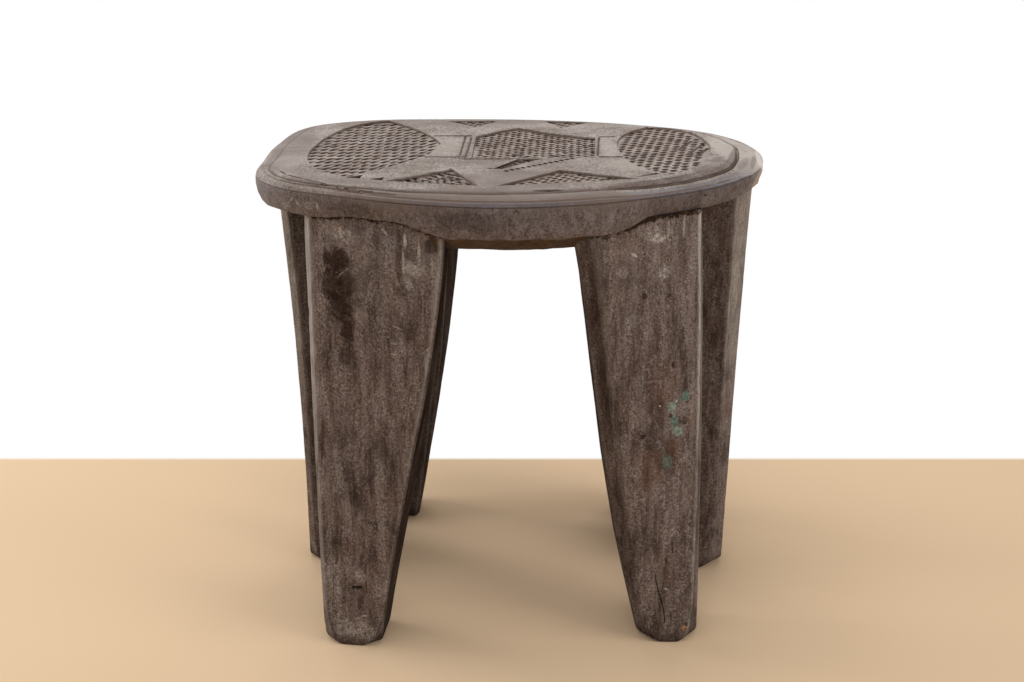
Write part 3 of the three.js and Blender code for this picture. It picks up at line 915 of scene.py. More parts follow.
@dataclass
class CarvedSeat:
    """The seat slab: a rounded D with a band, a rim groove and a chip-carved top.

    Each arc is a stretch of the rim: its direction from the middle and half of its width, both
    in radians. The jitter is the most by which a chip is moved across and along, and turned in
    degrees. The size spread is the least and the greatest share of a chip's size.
    """

    width: float = 382.0
    depth: float = 312.0
    height: float = 351.0
    stations: int = 300
    edge_drop: float = 5.0
    side_draw_in: float = 3.5
    lower_edge: float = 332.0
    lip: float = 3.5
    underside_bevel: float = 24.0
    core_bottom: float = 310.5
    core_rise: float = 15.5
    core_share: float = 0.55
    core_spread: float = 0.62
    rim_fall: float = 2.0
    groove_depth: float = 1.5
    groove_path: tuple[Point, ...] = (
        (-math.pi, 12.0), (-2.75, 10.0), (-2.45, 9.5), (-2.15, 14.0), (-1.85, 19.5), (-1.55, 21.5),
        (-1.1, 20.5), (-0.8, 17.0), (-0.5, 16.5), (-0.15, 19.5), (0.3, 20.0), (0.8, 18.0),
        (1.2, 14.5), (1.6, 13.0), (2.2, 13.0), (2.8, 12.5), (math.pi, 12.0),
    )
    sunk_arc: Point = (-0.5, 0.52)
    uneven_arc: Point = (-0.15, 0.6)
    rough_arc: Point = (-2.45, 0.35)
    calm_arcs: tuple[Point, ...] = ((2.9, 0.8), (1.6, 0.8))
    front_arc: Point = (-1.22, 0.85)
    crisp_arc: Point = (-1.4, 0.85)
    slumped_arc: Point = (-0.62, 0.45)
    bulging_arc: Point = (0.05, 0.45)
    lumpy_arc: Point = (-0.15, 0.45)
    field_depth: float = 2.0
    dashes: int = 13
    nicks: int = 34
    jitter: Triple = (0.4, 0.8, 7.0)
    size_spread: Point = (0.84, 1.08)
    seed: int = 11
    outline: tuple[Point, ...] = (
        (-189, -62), (-167, -97), (-122, -123), (-70, -145), (-15, -155), (45, -146),
        (100, -121), (150, -84), (181, -32), (189, 30), (171, 88), (120, 127),
        (40, 153), (-50, 160), (-130, 153), (-178, 122), (-192, 50), (-193, -5),
    )
    aprons: tuple[Triple, ...] = (
        (-1.5, 0.47, 9.0), (1.62, 0.45, 7.0), (3.63, 0.25, 3.0), (2.54, 0.15, 3.5),
        (0.52, 0.12, 3.0),
    )

    def rim(self) -> list[Station]:
        """Evenly spaced stations round the outline, fitted to the seat's width and depth."""
        points = closed_curve(self.outline, self.stations)
        low = [min(point[axis] for point in points) for axis in (0, 1)]
        high = [max(point[axis] for point in points) for axis in (0, 1)]
        fit = (self.width / (high[0] - low[0]), self.depth / (high[1] - low[1]))
        middle = [(low[axis] + high[axis]) / 2 for axis in (0, 1)]
        fitted = [
            Vector([(point[axis] - middle[axis]) * fit[axis] for axis in (0, 1)] + [0.0])
            for point in points
        ]
        made = []
        for index, point in enumerate(fitted):
            along = (fitted[(index + 1) % len(fitted)] - fitted[index - 1]).normalized()
            out = Vector((along.y, -along.x, 0.0))
            made.append(Station(point, out, math.atan2(point.y, point.x)))
        return made

    def lip_height(self, station: Station) -> float:
        """The height of the band's lower edge, with its worn and nicked line."""
        height = self.lower_edge
        for centre, half_width, drop in self.aprons:
            height -= drop * swell(station.angle, centre, half_width)
        height += 0.7 * grain(station.point, 13.0, 2.0)
        return height + 0.45 * grain(station.point, 4.5, 3.0)

    def core_height(self, station: Station) -> float:
        """The height of the underside's outer rim, lowest at the front and the back."""
        deep = max(swell(station.angle, apron[0], self.core_spread) for apron in self.aprons[:2])
        return self.core_bottom + self.core_rise * (1.0 - deep)

    def groove(self, station: Station) -> Triple:
        """How far in the rim groove runs, how deep it is, and how far the rim outside it is sunk."""
        ends = (n for n, (at, _) in enumerate(self.groove_path) if n and at >= station.angle)
        following = next(ends, -1)
        (start, inset), (end, after) = self.groove_path[following - 1], self.groove_path[following]
        inset = mix(inset, after, ease(station.angle, start, end))
        rough = swell(station.angle, *self.rough_arc)
        inset += (0.3 + 0.6 * rough) * grain(station.point, 7.0, 6.0)
        sunk = swell(station.angle, *self.sunk_arc)
        uneven = swell(station.angle, *self.uneven_arc)
        inset += 1.6 * uneven * grain(station.point, 17.0, 6.5)
        calm = max(swell(station.angle, *arc) for arc in self.calm_arcs)
        deep = self.groove_depth - 0.5 * calm + 3.2 * sunk + 0.8 * rough
        deep += (0.35 + 0.9 * uneven) * grain(station.point, 8.0, 7.0)
        return inset, deep, 1.9 * sunk

    def section(self, station: Station) -> list[tuple[float, float, float, float]]:
        """The seat's profile at one station, from the underside up to the flat top.

        Args:
            station: The station.

        Returns:
            For each ring its inset, height, zone and depth of cut. The zones are -1 for the
            underside, 0 for the band, 1 for the rounded edge and 2 for the top. The depths of cut
            that the rings carry darken the colour: under the band's lip, along the line between the
            band and the rounded edge and in the rim groove they are painted shade.
        """
        lip, core = self.lip_height(station), self.core_height(station)
        groove, deep, sunk = self.groove(station)
        top, round_start = self.height, self.height - self.edge_drop
        brow = round_start - 5.0
        outer = self.side_draw_in + self.lip
        arcs = (self.front_arc, self.crisp_arc, self.slumped_arc, self.bulging_arc)
        front, crisp, slump, bulge = (swell(station.angle, *arc) for arc in arcs)
        # Zone of the rounded edge: 1 at the front, where it takes the bluish painted sheen, and nearer
        # the top's colour elsewhere.
        sheen_zone = 1.75 - 0.75 * front
        rim = top - self.rim_fall - sunk - bulge
        soft = 1.0 + 1.1 * front
        ridge = max(7.0, groove - 3.6)
        crown = top - 0.7 - sunk + 0.4 * bulge
        under = [
            (mix(self.underside_bevel, outer, share), mix(core, lip - 1.0, share), -1.0, share)
            for share in (0.0, 0.2, 0.4, 0.6, 0.8, 0.93)
        ]
        # Under the band's lip and along the line where the band meets the rounded edge, the rings carry
        # cut values that darken them as painted shade.
        band = [
            (outer, lip - 1.0, -0.8, 2.6), (outer - 1.7, lip - 0.85, -0.5, 1.6),
            (self.side_draw_in + 0.4, lip - 0.35, 0.0, 0.3),
            (self.side_draw_in - 0.2, lip + 0.6, 0.0, 0.0),
            (2.75, lip + 1.8, 0.0, 0.0), (2.0, lip + 3.6, 0.0, 0.0), (1.0, lip + 6.0, 0.0, 0.0),
            (0.65, mix(lip + 6.0, brow, 0.35), 0.0, 0.0),
            (0.3, mix(lip + 6.0, brow, 0.7), 0.0, 0.0),
            (0.0, brow, 0.0, 0.0), (0.0, brow + 2.4, 0.0, 0.0), (0.1, round_start - 1.2, 0.1, 0.2),
            (0.5 + 0.4 * front, round_start - 0.7, 0.4, 1.0 + 1.1 * front),
        ]
        edge = [
            (0.3, round_start - 0.1, 0.85, 0.2), (0.6, mix(round_start, rim, 0.2), sheen_zone, 0.0),
            (1.1, mix(round_start, rim, 0.42), sheen_zone, 0.0),
            (1.9, mix(round_start, rim, 0.64), sheen_zone, 0.0),
            (3.0, mix(round_start, rim, 0.82) - 0.5 * crisp, sheen_zone, 0.0),
            (4.4, rim - 0.25 - 0.9 * crisp, sheen_zone, 0.0),
            (5.3, rim - 1.1 * crisp, sheen_zone, 0.1), (5.7, rim - 1.1 * crisp, 1.7, 2.9 * crisp),
            (6.1, rim - 0.1 * crisp, 1.8, 2.9 * crisp), (6.7, rim + 0.1, 2.0 - 0.6 * slump, 0.0),
        ]
        # The rim groove's rings carry cut values that darken the groove as painted shade.
        crest = [
            (mix(6.7, ridge, 0.5), mix(rim, crown, 0.75) - 0.5 * slump, 2.0 - 0.6 * slump, 0.0),
            (max(ridge, groove - 2.0 * soft), crown, 2.0, 0.0),
            (groove - 1.1 * soft, crown - 0.25, 2.0, 0.3),
            (groove - 0.35 * soft, top - deep, 2.0, 1.4 - 0.5 * front + sunk),
            (groove + 0.35 * soft, top - deep, 2.0, 1.5 - 0.5 * front + sunk),
            (
                groove + soft + 0.8 * sunk, top - mix(deep, 0.3, 0.6),
                2.0, 1.2 - 0.3 * front + 0.25 * sunk,
            ),
            (groove + 1.7 * soft + 2.2 * sunk, top - mix(deep, 0.2, 0.9), 2.0, 0.5 + 0.4 * sunk),
            (groove + 2.5 * soft + 3.4 * sunk, top - 0.04, 2.0, 0.0), (groove + 9.5, top, 2.0, 0.0),
        ]
        return under + band + edge + crest

    def body(self) -> Shape:
        """The slab before its top is carved, with each point's zone and depth of cut."""
        rim = self.rim()
        sections = [self.section(station) for station in rim]
        core_low = self.core_bottom - 1.5
        core = [station.point * self.core_share + UP * core_low for station in rim]
        inner = [station.point * self.core_share * 0.5 + UP * (core_low - 1.0) for station in rim]
        rings, marks = [inner, core], [(-1.0, 0.0)] * (2 * self.stations)
        for index in range(len(sections[0])):
            rings.append(
                [
                    station.point - station.out * section[index][0] + UP * section[index][1]
                    for station, section in zip(rim, sections)
                ]
            )
            marks.extend(section[index][2:] for section in sections)
        shape = bmesh.new()
        zone, cut = (shape.verts.layers.float.new(name) for name in ("zone", "cut"))
        _, lid = add_loft(shape, rings)
        near = KDTree(len(marks))
        for index, place in enumerate(place for ring in rings for place in ring):
            near.insert(place, index)
        near.balance()
        for vert in shape.verts:
            vert[zone], vert[cut] = marks[near.find(vert.co)[1]]
        lid_points = set(quilt(shape, lid, 5.0))
        for vert in shape.verts:
            if vert in lid_points:
                vert[zone], vert[cut] = 2.0, 0.0
        self.weather(shape, lid_points, zone)
        bmesh.ops.recalc_face_normals(shape, faces=shape.faces)
        return shape

    def weather(self, shape: Shape, lid: set[bmesh.types.BMVert], zone: object) -> None:
        """Makes the slab's faces uneven, always inwards.

        Args:
            shape: The slab.
            lid: The points of the flat top.
            zone: The layer that holds each point's zone.
        """
        for vert in shape.verts:
            place = vert.co.copy()
            if vert in lid:
                vert.co.z -= 0.14 + 0.14 * grain(place, 34.0, 1.0) + 0.05 * grain(place, 9.0, 2.0)
            elif vert[zone] < -0.6:
                vert.co.z += 0.9 * grain(place, 22.0, 8.0) + 0.4 * grain(place, 8.0, 9.0)
            else:
                inward = -Vector((place.x, place.y, 0.0)).normalized()
                worn = 0.3 + 0.2 * grain(place, 20.0, 10.0) + 0.1 * grain(place, 6.0, 12.0)
                lumps = 1.0 + 1.9 * grain(place, 13.0, 14.0) + 0.6 * grain(place, 5.0, 15.0)
                worn += swell(math.atan2(place.y, place.x), *self.lumpy_arc) * lumps
                vert.co += inward * worn * ease(2.0 - vert[zone], 0.0, 1.0)

    def fields(self) -> list[CarvedField]:
        """The three large sunk fields."""
        left = curve_through(
            (-107, 137), ((-140, 125), (-153, 80), (-157, 12)),
            ((-158, -30), (-147, -66), (-118, -84)), ((-88, -48), (-70, -16)),
            ((-58, 12), (-58, 39)), ((-70, 90), (-107, 137)),
        )
        right = curve_through(
            (112, 108), ((94, 92), (80, 70), (80, 20)), ((80, -30), (90, -62), (111, -75)),
            ((140, -55), (152, 0), (153, 36)), ((151, 82), (138, 112), (112, 108)),
        )
        centre = curve_through(
            (-32.5, -18), ((60, -18),), ((65, 61),), ((42, 66), (4, 104)), ((-14, 90), (-31, 66)),
            ((-32.5, -18),),
        )
        long_rows = ChipRows((6.9, 11.6), (13.8, 6.0, 1.65), 0.56, 36.0, 0.8, 0.05, 0.75, stagger=0.0)
        leaning_rows = ChipRows((6.9, 9.3), (9.4, 7.6, 1.55), 0.2, 42.0, 1.0, 0.35, 0.5)
        upright_rows = ChipRows((5.4, 8.4), (7.6, 7.4, 1.15), 0.05, 10.0, 1.0, 0.74, 0.15)
        areas = ((left, long_rows), (right, leaning_rows), (centre, upright_rows))
        return [CarvedField(tuple(outline), self.field_depth, rows) for outline, rows in areas]

    def pockets(self) -> list[CarvedField]:
        """The triangular pockets and the small notches by the rim."""
        bold = ChipRows((5.0, 10.5), (15.0, 5.6, 2.0), -0.12, -38.0, 0.3, 0.2, -0.35)
        fine = ChipRows((4.8, 7.8), (7.6, 5.0, 1.25), 0.3, 40.0, 0.8, 0.3, 0.55)
        narrow = ChipRows((4.2, 6.4), (7.4, 4.6, 1.7), 0.5, 40.0, 0.4)
        small = ChipRows((5.0, 8.4), (8.0, 5.2, 1.3), 0.3, 36.0, 0.8)
        return [
            triangle((-90, -97), (-25, -113), (-45, -57), 2.3, bold),
            triangle((-13, -113), (88, -90), (32, -61), 2.1, fine),
            triangle((-43, -20), (-16, -57), (4, -20), 0.9),
            CarvedField(((-20, -58), (-9, -58), (21, -21), (1, -21)), 1.5, narrow),
            triangle((-32, 107), (-14, 134), (-57, 134), 1.0, small),
            triangle((39, 102), (63, 127), (26, 133), 1.0, small),
            triangle((-120, -86), (-109, -89), (-108, -78), 3.6),
            triangle((-102, -92), (-93, -95), (-92, -86), 3.6),
            triangle((84, -86), (104, -75), (101, -70), 2.4),
        ]

    def add_chips(self, chisel: Chisel, area: CarvedField, dice: random.Random) -> int:
        """Adds the chips of one field.

        Args:
            chisel: Takes the cutters.
            area: The field.
            dice: Gives the small differences between chips.

        Returns:
            How many chips were added.
        """
        rows = area.rows
        if rows is None:
            return 0
        xs, ys = ([point[axis] for point in area.outline] for axis in (0, 1))
        across, ahead, askew = self.jitter
        run = abs(rows.lean) * (max(ys) - min(ys))
        count, column = 0, 0
        x_start = min(xs) - run
        while x_start < max(xs) + run:
            y = min(ys) + (rows.pitch[1] * rows.stagger if column % 2 else 0.0)
            while y < max(ys):
                x = x_start + rows.lean * (y - min(ys)) + dice.uniform(-across, across)
                if room_inside((x, y), area.outline) > rows.margin:
                    turn = math.radians(rows.slant + dice.uniform(-askew, askew))
                    place = Vector((x, y + dice.uniform(-ahead, ahead), self.height - area.depth))
                    size = tuple(value * dice.uniform(*self.size_spread) for value in rows.size)
                    along = Vector((math.sin(turn), math.cos(turn), 0.0))
                    chisel.chip(place, along, UP, size, rows.drag, rows.steep, rows.sides)
                    count += 1
                y += rows.pitch[1]
            x_start += rows.pitch[0]
            column += 1
        return count

    def score_line(
        self, chisel: Chisel, start: Point, end: Point, below: float, width: float, depth: float
    ) -> None:
        """Adds one straight V groove, which starts a little below the flat top."""
        level = self.height - below
        chisel.score(Vector((*start, level)), Vector((*end, level)), UP, width, depth)

    def add_lines(self, chisel: Chisel) -> None:
        """Adds the incised lines by the middle field, the cracks by the rim and the chisel's slips."""
        lines = (
            ((-65, 68), (-34.6, 68)), ((-68, -15), (-36, -15.5)),
            ((-39.4, 65.6), (-41.6, -12.8)), ((-34.6, 61), (-36.8, -12.8)),
            ((68, 64), (81, 64)), ((63.5, -15.5), (81, -15)), ((67.8, 61), (62.6, -13)),
            ((-47, -56), (-27.5, -106)),
        )
        for start, end in lines:
            level = abs(start[1] - end[1]) < 2.0
            width, depth = (4.8, 2.5) if level else (2.7, 1.6)
            self.score_line(chisel, start, end, 0.0, width, depth)
        cracks = (
            ((-168, -66), (-163, -76)), ((-161, -78), (-149, -90)), ((-147, -92), (-136, -103)),
            ((-134, -105), (-117, -117)), ((-114, -119), (-96, -126.5)), ((-141, -97), (-131, -106)),
            ((-121, -114.5), (-106, -123)), ((-103, -125), (-80, -134)),
        )
        for start, end in cracks:
            self.score_line(chisel, start, end, 0.9, 2.0, 2.2)
        slips = (((131, 0), (149, 43)), ((137, -6), (151, 27)), ((126, 18), (141, 56)))
        for start, end in slips:
            self.score_line(chisel, start, end, 1.9, 3.4, 1.5)

    def add_dents(self, chisel: Chisel, dice: random.Random) -> None:
        """Adds the row of dashes by the middle pocket, and dents and nicks from use.

        Args:
            chisel: Takes the cutters.
            dice: Gives their places on the band.
        """
        for step in range(self.dashes):
            share = step / (self.dashes - 1)
            place = Vector((mix(-6.0, 43.0, share), mix(-65.0, -21.5, share), self.height - 0.1))
            chisel.chip(place, Vector((1.0, 0.25, 0.0)), UP, (5.0, 6.0, 2.8), 0.0, 0.75)
        marks = (
            ((22, -127), (1.0, 0.12), (24.0, 6.0, 2.3)),
            ((122, -58), (1.0, 0.7), (12.0, 1.6, 0.9)), ((152, 66), (1.0, 0.2), (7.0, 2.2, 0.8)),
            ((160, 40), (1.0, 0.1), (8.0, 1.5, 0.7)), ((-171, 20), (1.0, 0.05), (16.0, 1.5, 0.6)),
            ((-60, 148), (1.0, 0.0), (12.0, 1.8, 0.9)), ((-8, -132), (1.0, -0.05), (9.0, 1.4, 0.8)),
        )
        for (x, y), (run_x, run_y), size in marks:
            place, along = Vector((x, y, self.height - 0.2)), Vector((run_x, run_y, 0.0))
            chisel.chip(place, along, UP, size, 0.1, 0.5)
        rim = self.rim()
        for _ in range(self.nicks):
            station = dice.choice(rim)
            place = station.point - station.out * 0.6 + UP * dice.uniform(333.0, 344.0)
            along = Vector((-station.out.y, station.out.x, dice.uniform(-2.0, 2.0))).normalized()
            size = (dice.uniform(2.0, 6.0), dice.uniform(0.7, 1.5), dice.uniform(0.5, 0.9))
            chisel.chip(place, along, station.out, size, 0.0)

    def mark_cuts(
        self, shape: Shape, untouched: BVHTree, near: KDTree, marks: list[Point]
    ) -> None:
        """Sets each point's zone and depth below the untouched slab, and how steep each cut face is.

        Args:
            shape: The carved seat.
            untouched: The slab's surface before it was carved.
            near: Finds the slab's nearest point.
            marks: The zone and cut of each of the slab's points.
        """
        layers = shape.verts.layers.float
        zone, cut = (layers.get(name) or layers.new(name) for name in ("zone", "cut"))
        for vert in shape.verts:
            _, index, _ = near.find(vert.co)
            distance = untouched.find_nearest(vert.co)[3]
            vert[zone] = marks[index][0]
            vert[cut] = marks[index][1] + distance
        # How steep each cut face on the top is, which darkens it in the colour as painted shade.
        steep = shape.loops.layers.float.new("steep")
        shape.normal_update()
        for face in shape.faces:
            deepest = max(vert[cut] for vert in face.verts)
            bare = mix(0.5, 1.0, ease(deepest, 2.3, 2.8)) * ease(deepest, 1.6, 1.9)
            bare *= ease(1.0 - face.normal.z, 0.07, 0.3)
            on_top = min(vert[zone] for vert in face.verts) > 1.8
            for loop in face.loops:
                loop[steep] = bare if on_top else 0.0

    def build(self, material: bpy.types.Material) -> bpy.types.Object:
        """Builds the carved seat.

        Args:
            material: The seat's material.

        Returns:
            The seat's object.
        """
        dice = random.Random(self.seed)
        shape = self.body()
        untouched = BVHTree.FromBMesh(shape)
        zone, cut = (shape.verts.layers.float[name] for name in ("zone", "cut"))
        near = KDTree(len(shape.verts))
        marks = []
        for index, vert in enumerate(shape.verts):
            near.insert(vert.co, index)
            marks.append((vert[zone], vert[cut]))
        near.balance()
        areas = self.fields() + self.pockets()
        chisel = Chisel()
        for area in areas:
            chisel.sink(area.outline, self.height, area.depth)
        shape = chisel.cut(shape)
        chisel = Chisel()
        self.add_lines(chisel)
        shape = chisel.cut(shape)
        chisel = Chisel()
        LOG.info("seat: %d chips", sum(self.add_chips(chisel, area, dice) for area in areas))
        shape = chisel.cut(shape)
        chisel = Chisel()
        self.add_dents(chisel, dice)
        shape = chisel.cut(shape)
        self.mark_cuts(shape, untouched, near, marks)
        return finish_piece(shape, "seat_slab", "seat", material, 24.0)


# The legs


@dataclass(frozen=True)
class LegEnd:
    """One end of a leg: the outer face's two corners, the thickness, the crown and the bevels."""

    start: Point
    end: Point
    thick: float
    crown: float
    bevels: Point


@dataclass(frozen=True)
class Crack:
    """A crack or notch in a leg's outer face: points across and up, its width and its depth."""

    path: tuple[Point, ...]
    width: float
    depth: float


@dataclass
class TaperedLeg:
    """A broad leg that tapers to a worn foot, bevelled along its edges.

    A pair of values is for the outer face's left edge and its right edge, as seen from outside.
    The edges and polish values lighten the edge lines and the bevel faces, partly as real rubbing and
    partly as painted highlight. The shade values for each stretch of the outline darken the sides and
    the back as painted shade.
    """

    name: str
    foot: LegEnd
    top: LegEnd
    full_start: Point
    full_end: Point
    waist: float = 0.0
    wear: Point = (1.0, 1.0)
    polish_and_highlight: Point = (0.25, 0.25)
    edges: Point = (0.8, 0.8)
    stains: tuple[Stain, ...] = ()
    cracks: tuple[Crack, ...] = ()
    reach: float = 332.0
    bevel_skew: Point = (0.6, 0.6)
    inner_shade: tuple[float, ...] = (0.0, 0.0, 0.25, 0.45, 0.55, 0.45, 0.25, 0.0)
    back_share: Point = (0.92, 0.62)
    back_bevel: Point = (3.5, 8.0)
    arris: Point = (0.55, 0.55)
    level_gap: float = 2.7
    fills: tuple[int, ...] = (26, 3, 11, 2, 11, 2, 11, 3)
    foot_wear: tuple[Triple, ...] = (
        (0.0, 9.0, 1.6), (2.0, 6.5, 0.5), (6.0, 4.0, 0.0), (16.0, 1.5, 0.0), (32.0, 0.0, 0.0),
    )

    def worn_at(self, height: float) -> Point:
        """The extra bevel of the foot's corners and its inset, at a height."""
        for lower, upper in zip(self.foot_wear, self.foot_wear[1:]):
            if height < upper[0]:
                share = (height - lower[0]) / (upper[0] - lower[0])
                return mix(lower[1], upper[1], share), mix(lower[2], upper[2], share)
        return 0.0, 0.0

    @staticmethod
    def fullness(rise: float, full: Point) -> float:
        """How far a curved edge stands past a straight one."""
        fall = 1.0 - rise
        return 3.0 * rise * fall * (full[0] * fall + full[1] * rise)

    def ring(self, height: float) -> list[tuple[Vector, float, float]]:
        """The leg's outline at a height.

        Args:
            height: The height above the floor.

        Returns:
            For each point its place, its wear and painted highlight (1 on an edge, 0 on a face) and its
            painted inner shade.
        """
        rise = height / self.reach
        foot, top = self.foot, self.top
        extra, inset = self.worn_at(height)
        start = Vector(foot.start).lerp(Vector(top.start), rise)
        end = Vector(foot.end).lerp(Vector(top.end), rise)
        along = (end - start).normalized()
        out = Vector((along.y, -along.x))
        start -= along * self.fullness(rise, self.full_start)
        end += along * self.fullness(rise, self.full_end)
        width = (end - start).length
        thick, crown = mix(foot.thick, top.thick, rise), mix(foot.crown, top.crown, rise)
        faces, sides = [], []
        for side in (0, 1):
            bevel = mix(foot.bevels[side], top.bevels[side], rise)
            faces.append(self.bevel_skew[side] * bevel + extra * self.wear[side])
            sides.append(bevel + 0.6 * extra * self.wear[side])
        share, bevel = mix(*self.back_share, rise), mix(*self.back_bevel, rise)
        left, right = (1.0 - share) / 2 * width, (1.0 + share) / 2 * width

        def on_face(u: float) -> Vector:
            """The crowned outer face."""
            return Vector((u, crown * (1.0 - (2.0 * u / width - 1.0) ** 2)))

        corners = [
            on_face(faces[0]), on_face(width - faces[1]), Vector((width, -sides[1])),
            Vector((right, bevel - thick)), Vector((right - bevel, -thick)),
            Vector((left + bevel, -thick)), Vector((left, bevel - thick)), Vector((0.0, -sides[0])),
        ]
        points: list[tuple[Vector, float, float]] = []
        for index, corner in enumerate(corners):
            before, after = corners[index - 1], corners[(index + 1) % len(corners)]
            ahead, behind = (after - corner), (before - corner)
            side = 1 if 1 <= index <= 4 else 0
            arris, bright = self.arris[side], self.edges[side]
            step = min(arris, 0.25 * ahead.length)
            tip = corner + (ahead.normalized() + behind.normalized()) * arris * 0.3
            points.append((tip, bright, 0.5 * (self.inner_shade[index] + self.inner_shade[index - 1])))
            count = self.fills[index]
            evenly = ((n + 1) / (count + 1) for n in range(count))
            shares = [step / ahead.length, *evenly, 1.0 - step / ahead.length]
            # Bevel faces are lightened by their polish value: partly real rubbing, partly painted
            # highlight.
            rubbed_and_lit = {1: self.polish_and_highlight[1], 7: self.polish_and_highlight[0]}.get(index, 0.0)
            for number, part in enumerate(shares):
                worn = max(0.5 * bright if number in (0, count + 1) else 0.0, rubbed_and_lit)
                place = corner.lerp(after, part)
                if index == 0:
                    place = on_face(mix(corner.x, after.x, part))
                points.append((place, worn, self.inner_shade[index]))
        bow_in = self.waist * 4.0 * rise * (1.0 - rise)
        flat = [start + along * point[0].x + out * (point[0].y - bow_in) for point in points]
        middle = sum(flat, Vector((0.0, 0.0))) / len(flat)
        made = []
        for place, (_, worn, inner_shade) in zip(flat, points):
            place = place + (middle - place).normalized() * inset
            made.append((Vector((place.x, place.y, height)), worn, inner_shade))
        return made

    def heights(self) -> list[float]:
        """The heights of the rings, closer together at the worn foot."""
        low = [0.0, 0.6, 1.3, 2.0, 3.0, 4.3, 6.0, 8.0, 10.5, 13.2, 16.0]
        count = round((self.reach - low[-1]) / self.level_gap)
        return low + [mix(low[-1], self.reach, step / count) for step in range(1, count + 1)]

    def body(self, seat: CarvedSeat) -> Shape:
        """The leg with its uneven faces, nicked edges, and each point's wear, painted highlight and
        painted shade.

        Args:
            seat: The seat above it, under whose lip the leg gets a painted shadow.

        Returns:
            The leg.
        """
        rings = [self.ring(height) for height in self.heights()]
        seed = sum(map(ord, self.name)) * 0.37
        shape = bmesh.new()
        names = ("wear", "cut", "crease", "inner_shade")
        wear, cut, crease, inner_shade = (shape.verts.layers.float.new(name) for name in names)
        add_loft(shape, [[point[0] for point in ring] for ring in rings])
        rim = seat.rim()
        near = KDTree(len(rim))
        for index, station in enumerate(rim):
            near.insert(station.point, index)
        near.balance()
        middles = [sum((point[0] for point in ring), Vector()) / len(ring) for ring in rings]
        size = len(rings[0])
        for index, vert in enumerate(list(shape.verts)):
            place, worn, inner_shade_share = rings[index // size][index % size]
            outward = (place - middles[index // size]).normalized()
            dent = 0.42 * grain(place, 26.0, seed, 2.2) + 0.2 * grain(place, 9.0, seed + 3.0, 2.5)
            dent += 0.08 * grain(place, 3.0, seed + 5.0, 1.5)
            if worn > 0.3:
                dent -= 1.5 * max(0.0, grain(place, 5.0, seed + 7.0, 1.6) - 0.32) * worn
            vert.co += outward * (dent - 0.2)
            uneven = 0.75 + 0.35 * grain(place, 11.0, seed + 9.0)
            vert[wear] = worn * uneven * mix(0.3, 1.0, ease(place.z, 110.0, 250.0))
            vert[cut] = 0.0
            # Painted shade on the leg's inner sides and back, a little uneven.
            vert[inner_shade] = inner_shade_share * (0.85 + 0.3 * grain(place, 18.0, seed + 11.0, 2.0))
            # How near the point lies below the seat's lip, which sets the painted shadow there.
            if place.z > 290.0:
                lip = seat.lip_height(rim[near.find(Vector((place.x, place.y, 0.0)))[1]])
                vert[crease] = min(1.0, max(0.0, (place.z - lip + 14.0) / 14.0))
        bmesh.ops.recalc_face_normals(shape, faces=shape.faces)
        return shape

    def open_cracks(self, shape: Shape) -> Shape:
        """Cuts the leg's cracks and notches into its front.

        Args:
            shape: The leg. It is used up.

        Returns:
            The leg with its cracks.
        """
        surface = BVHTree.FromBMesh(shape)
        ahead = Vector((0.0, 1.0, 0.0))
        joined: list[list[tuple[Vector, Vector, Vector, float, float]]] = [[], []]
        for crack in self.cracks:
            hits = [surface.ray_cast(Vector((x, -400.0, z)), ahead) for x, z in crack.path]
            for index, (first, second) in enumerate(zip(hits, hits[1:])):
                joined[index % 2].append((first[0], second[0], first[1], crack.width, crack.depth))
        for cuts in joined:
            if cuts:
                chisel = Chisel()
                for start, end, out, width, depth in cuts:
                    chisel.score(start, end, out, width, depth)
                shape = chisel.cut(shape)
        cut = shape.verts.layers.float["cut"]
        for vert in shape.verts:
            away = surface.find_nearest(vert.co)[3]
            vert[cut] = ease(away, 0.15, 0.7)
        return shape

    def build(self, seat: CarvedSeat, finish: LegWood, shelf: EffectShelf) -> bpy.types.Object:
        """Builds the leg.

        Args:
            seat: The seat above it.
            finish: The legs' finish.
            shelf: The shared effects.

        Returns:
            The leg's object.
        """
        shape = self.body(seat)
        if self.cracks:
            shape = self.open_cracks(shape)
        material = finish.build(f"{self.name}_wood", shelf, self.stains)
        return finish_piece(shape, f"tapered_{self.name}", self.name, material, 38.0)


# Tints for marks. The shade tints paint shade on the seat, and the rim's highlight tint paints a
# highlight. The pale wood tint is paler wood on the top, and painted light on the band's left end and
# the right rim.
SHADE = (108, 92, 83)
PALE_WOOD_AND_LIGHT = (176, 164, 154)
CHALK = (206, 199, 191)
ASH = (146, 131, 122)
SLATE = (140, 132, 130)
SOOT = (40, 26, 19)
RUST = (112, 66, 40)
OCHRE = (128, 96, 52)
GREEN = (92, 122, 114)
PALE_GREEN = (134, 158, 146)
GROOVE_SHADE = (92, 79, 71)
PALE_GROOVE_SHADE = (98, 85, 76)
DULL_SHADE = (90, 78, 70)
STEP_SHADE = (104, 92, 84)
CRACK_BROWN = (84, 58, 46)
RAW_WOOD = (172, 154, 136)
RIM_HIGHLIGHT = (216, 207, 199)
FRESH_WOOD = (186, 118, 62)
REACH = 14


def spot(
    place: Triple, wide: float, tall: float, colour: Tint, strength: float,
    ragged: float = 1.4, speckle: float = 0.0,
) -> Stain:
    """A mark on an upright face."""
    return Stain(place, (wide, REACH, tall), colour, strength, ragged=ragged, speckle=speckle)


def stroke(
    place: Triple, wide: float, tall: float, colour: Tint, strength: float,
    lean: float, ragged: float = 1.1,
) -> Stain:
    """A thin scratch on an upright face, which leans by an angle in degrees."""
    return Stain(place, (wide, REACH, tall), colour, strength, (0.0, lean, 0.0), ragged)


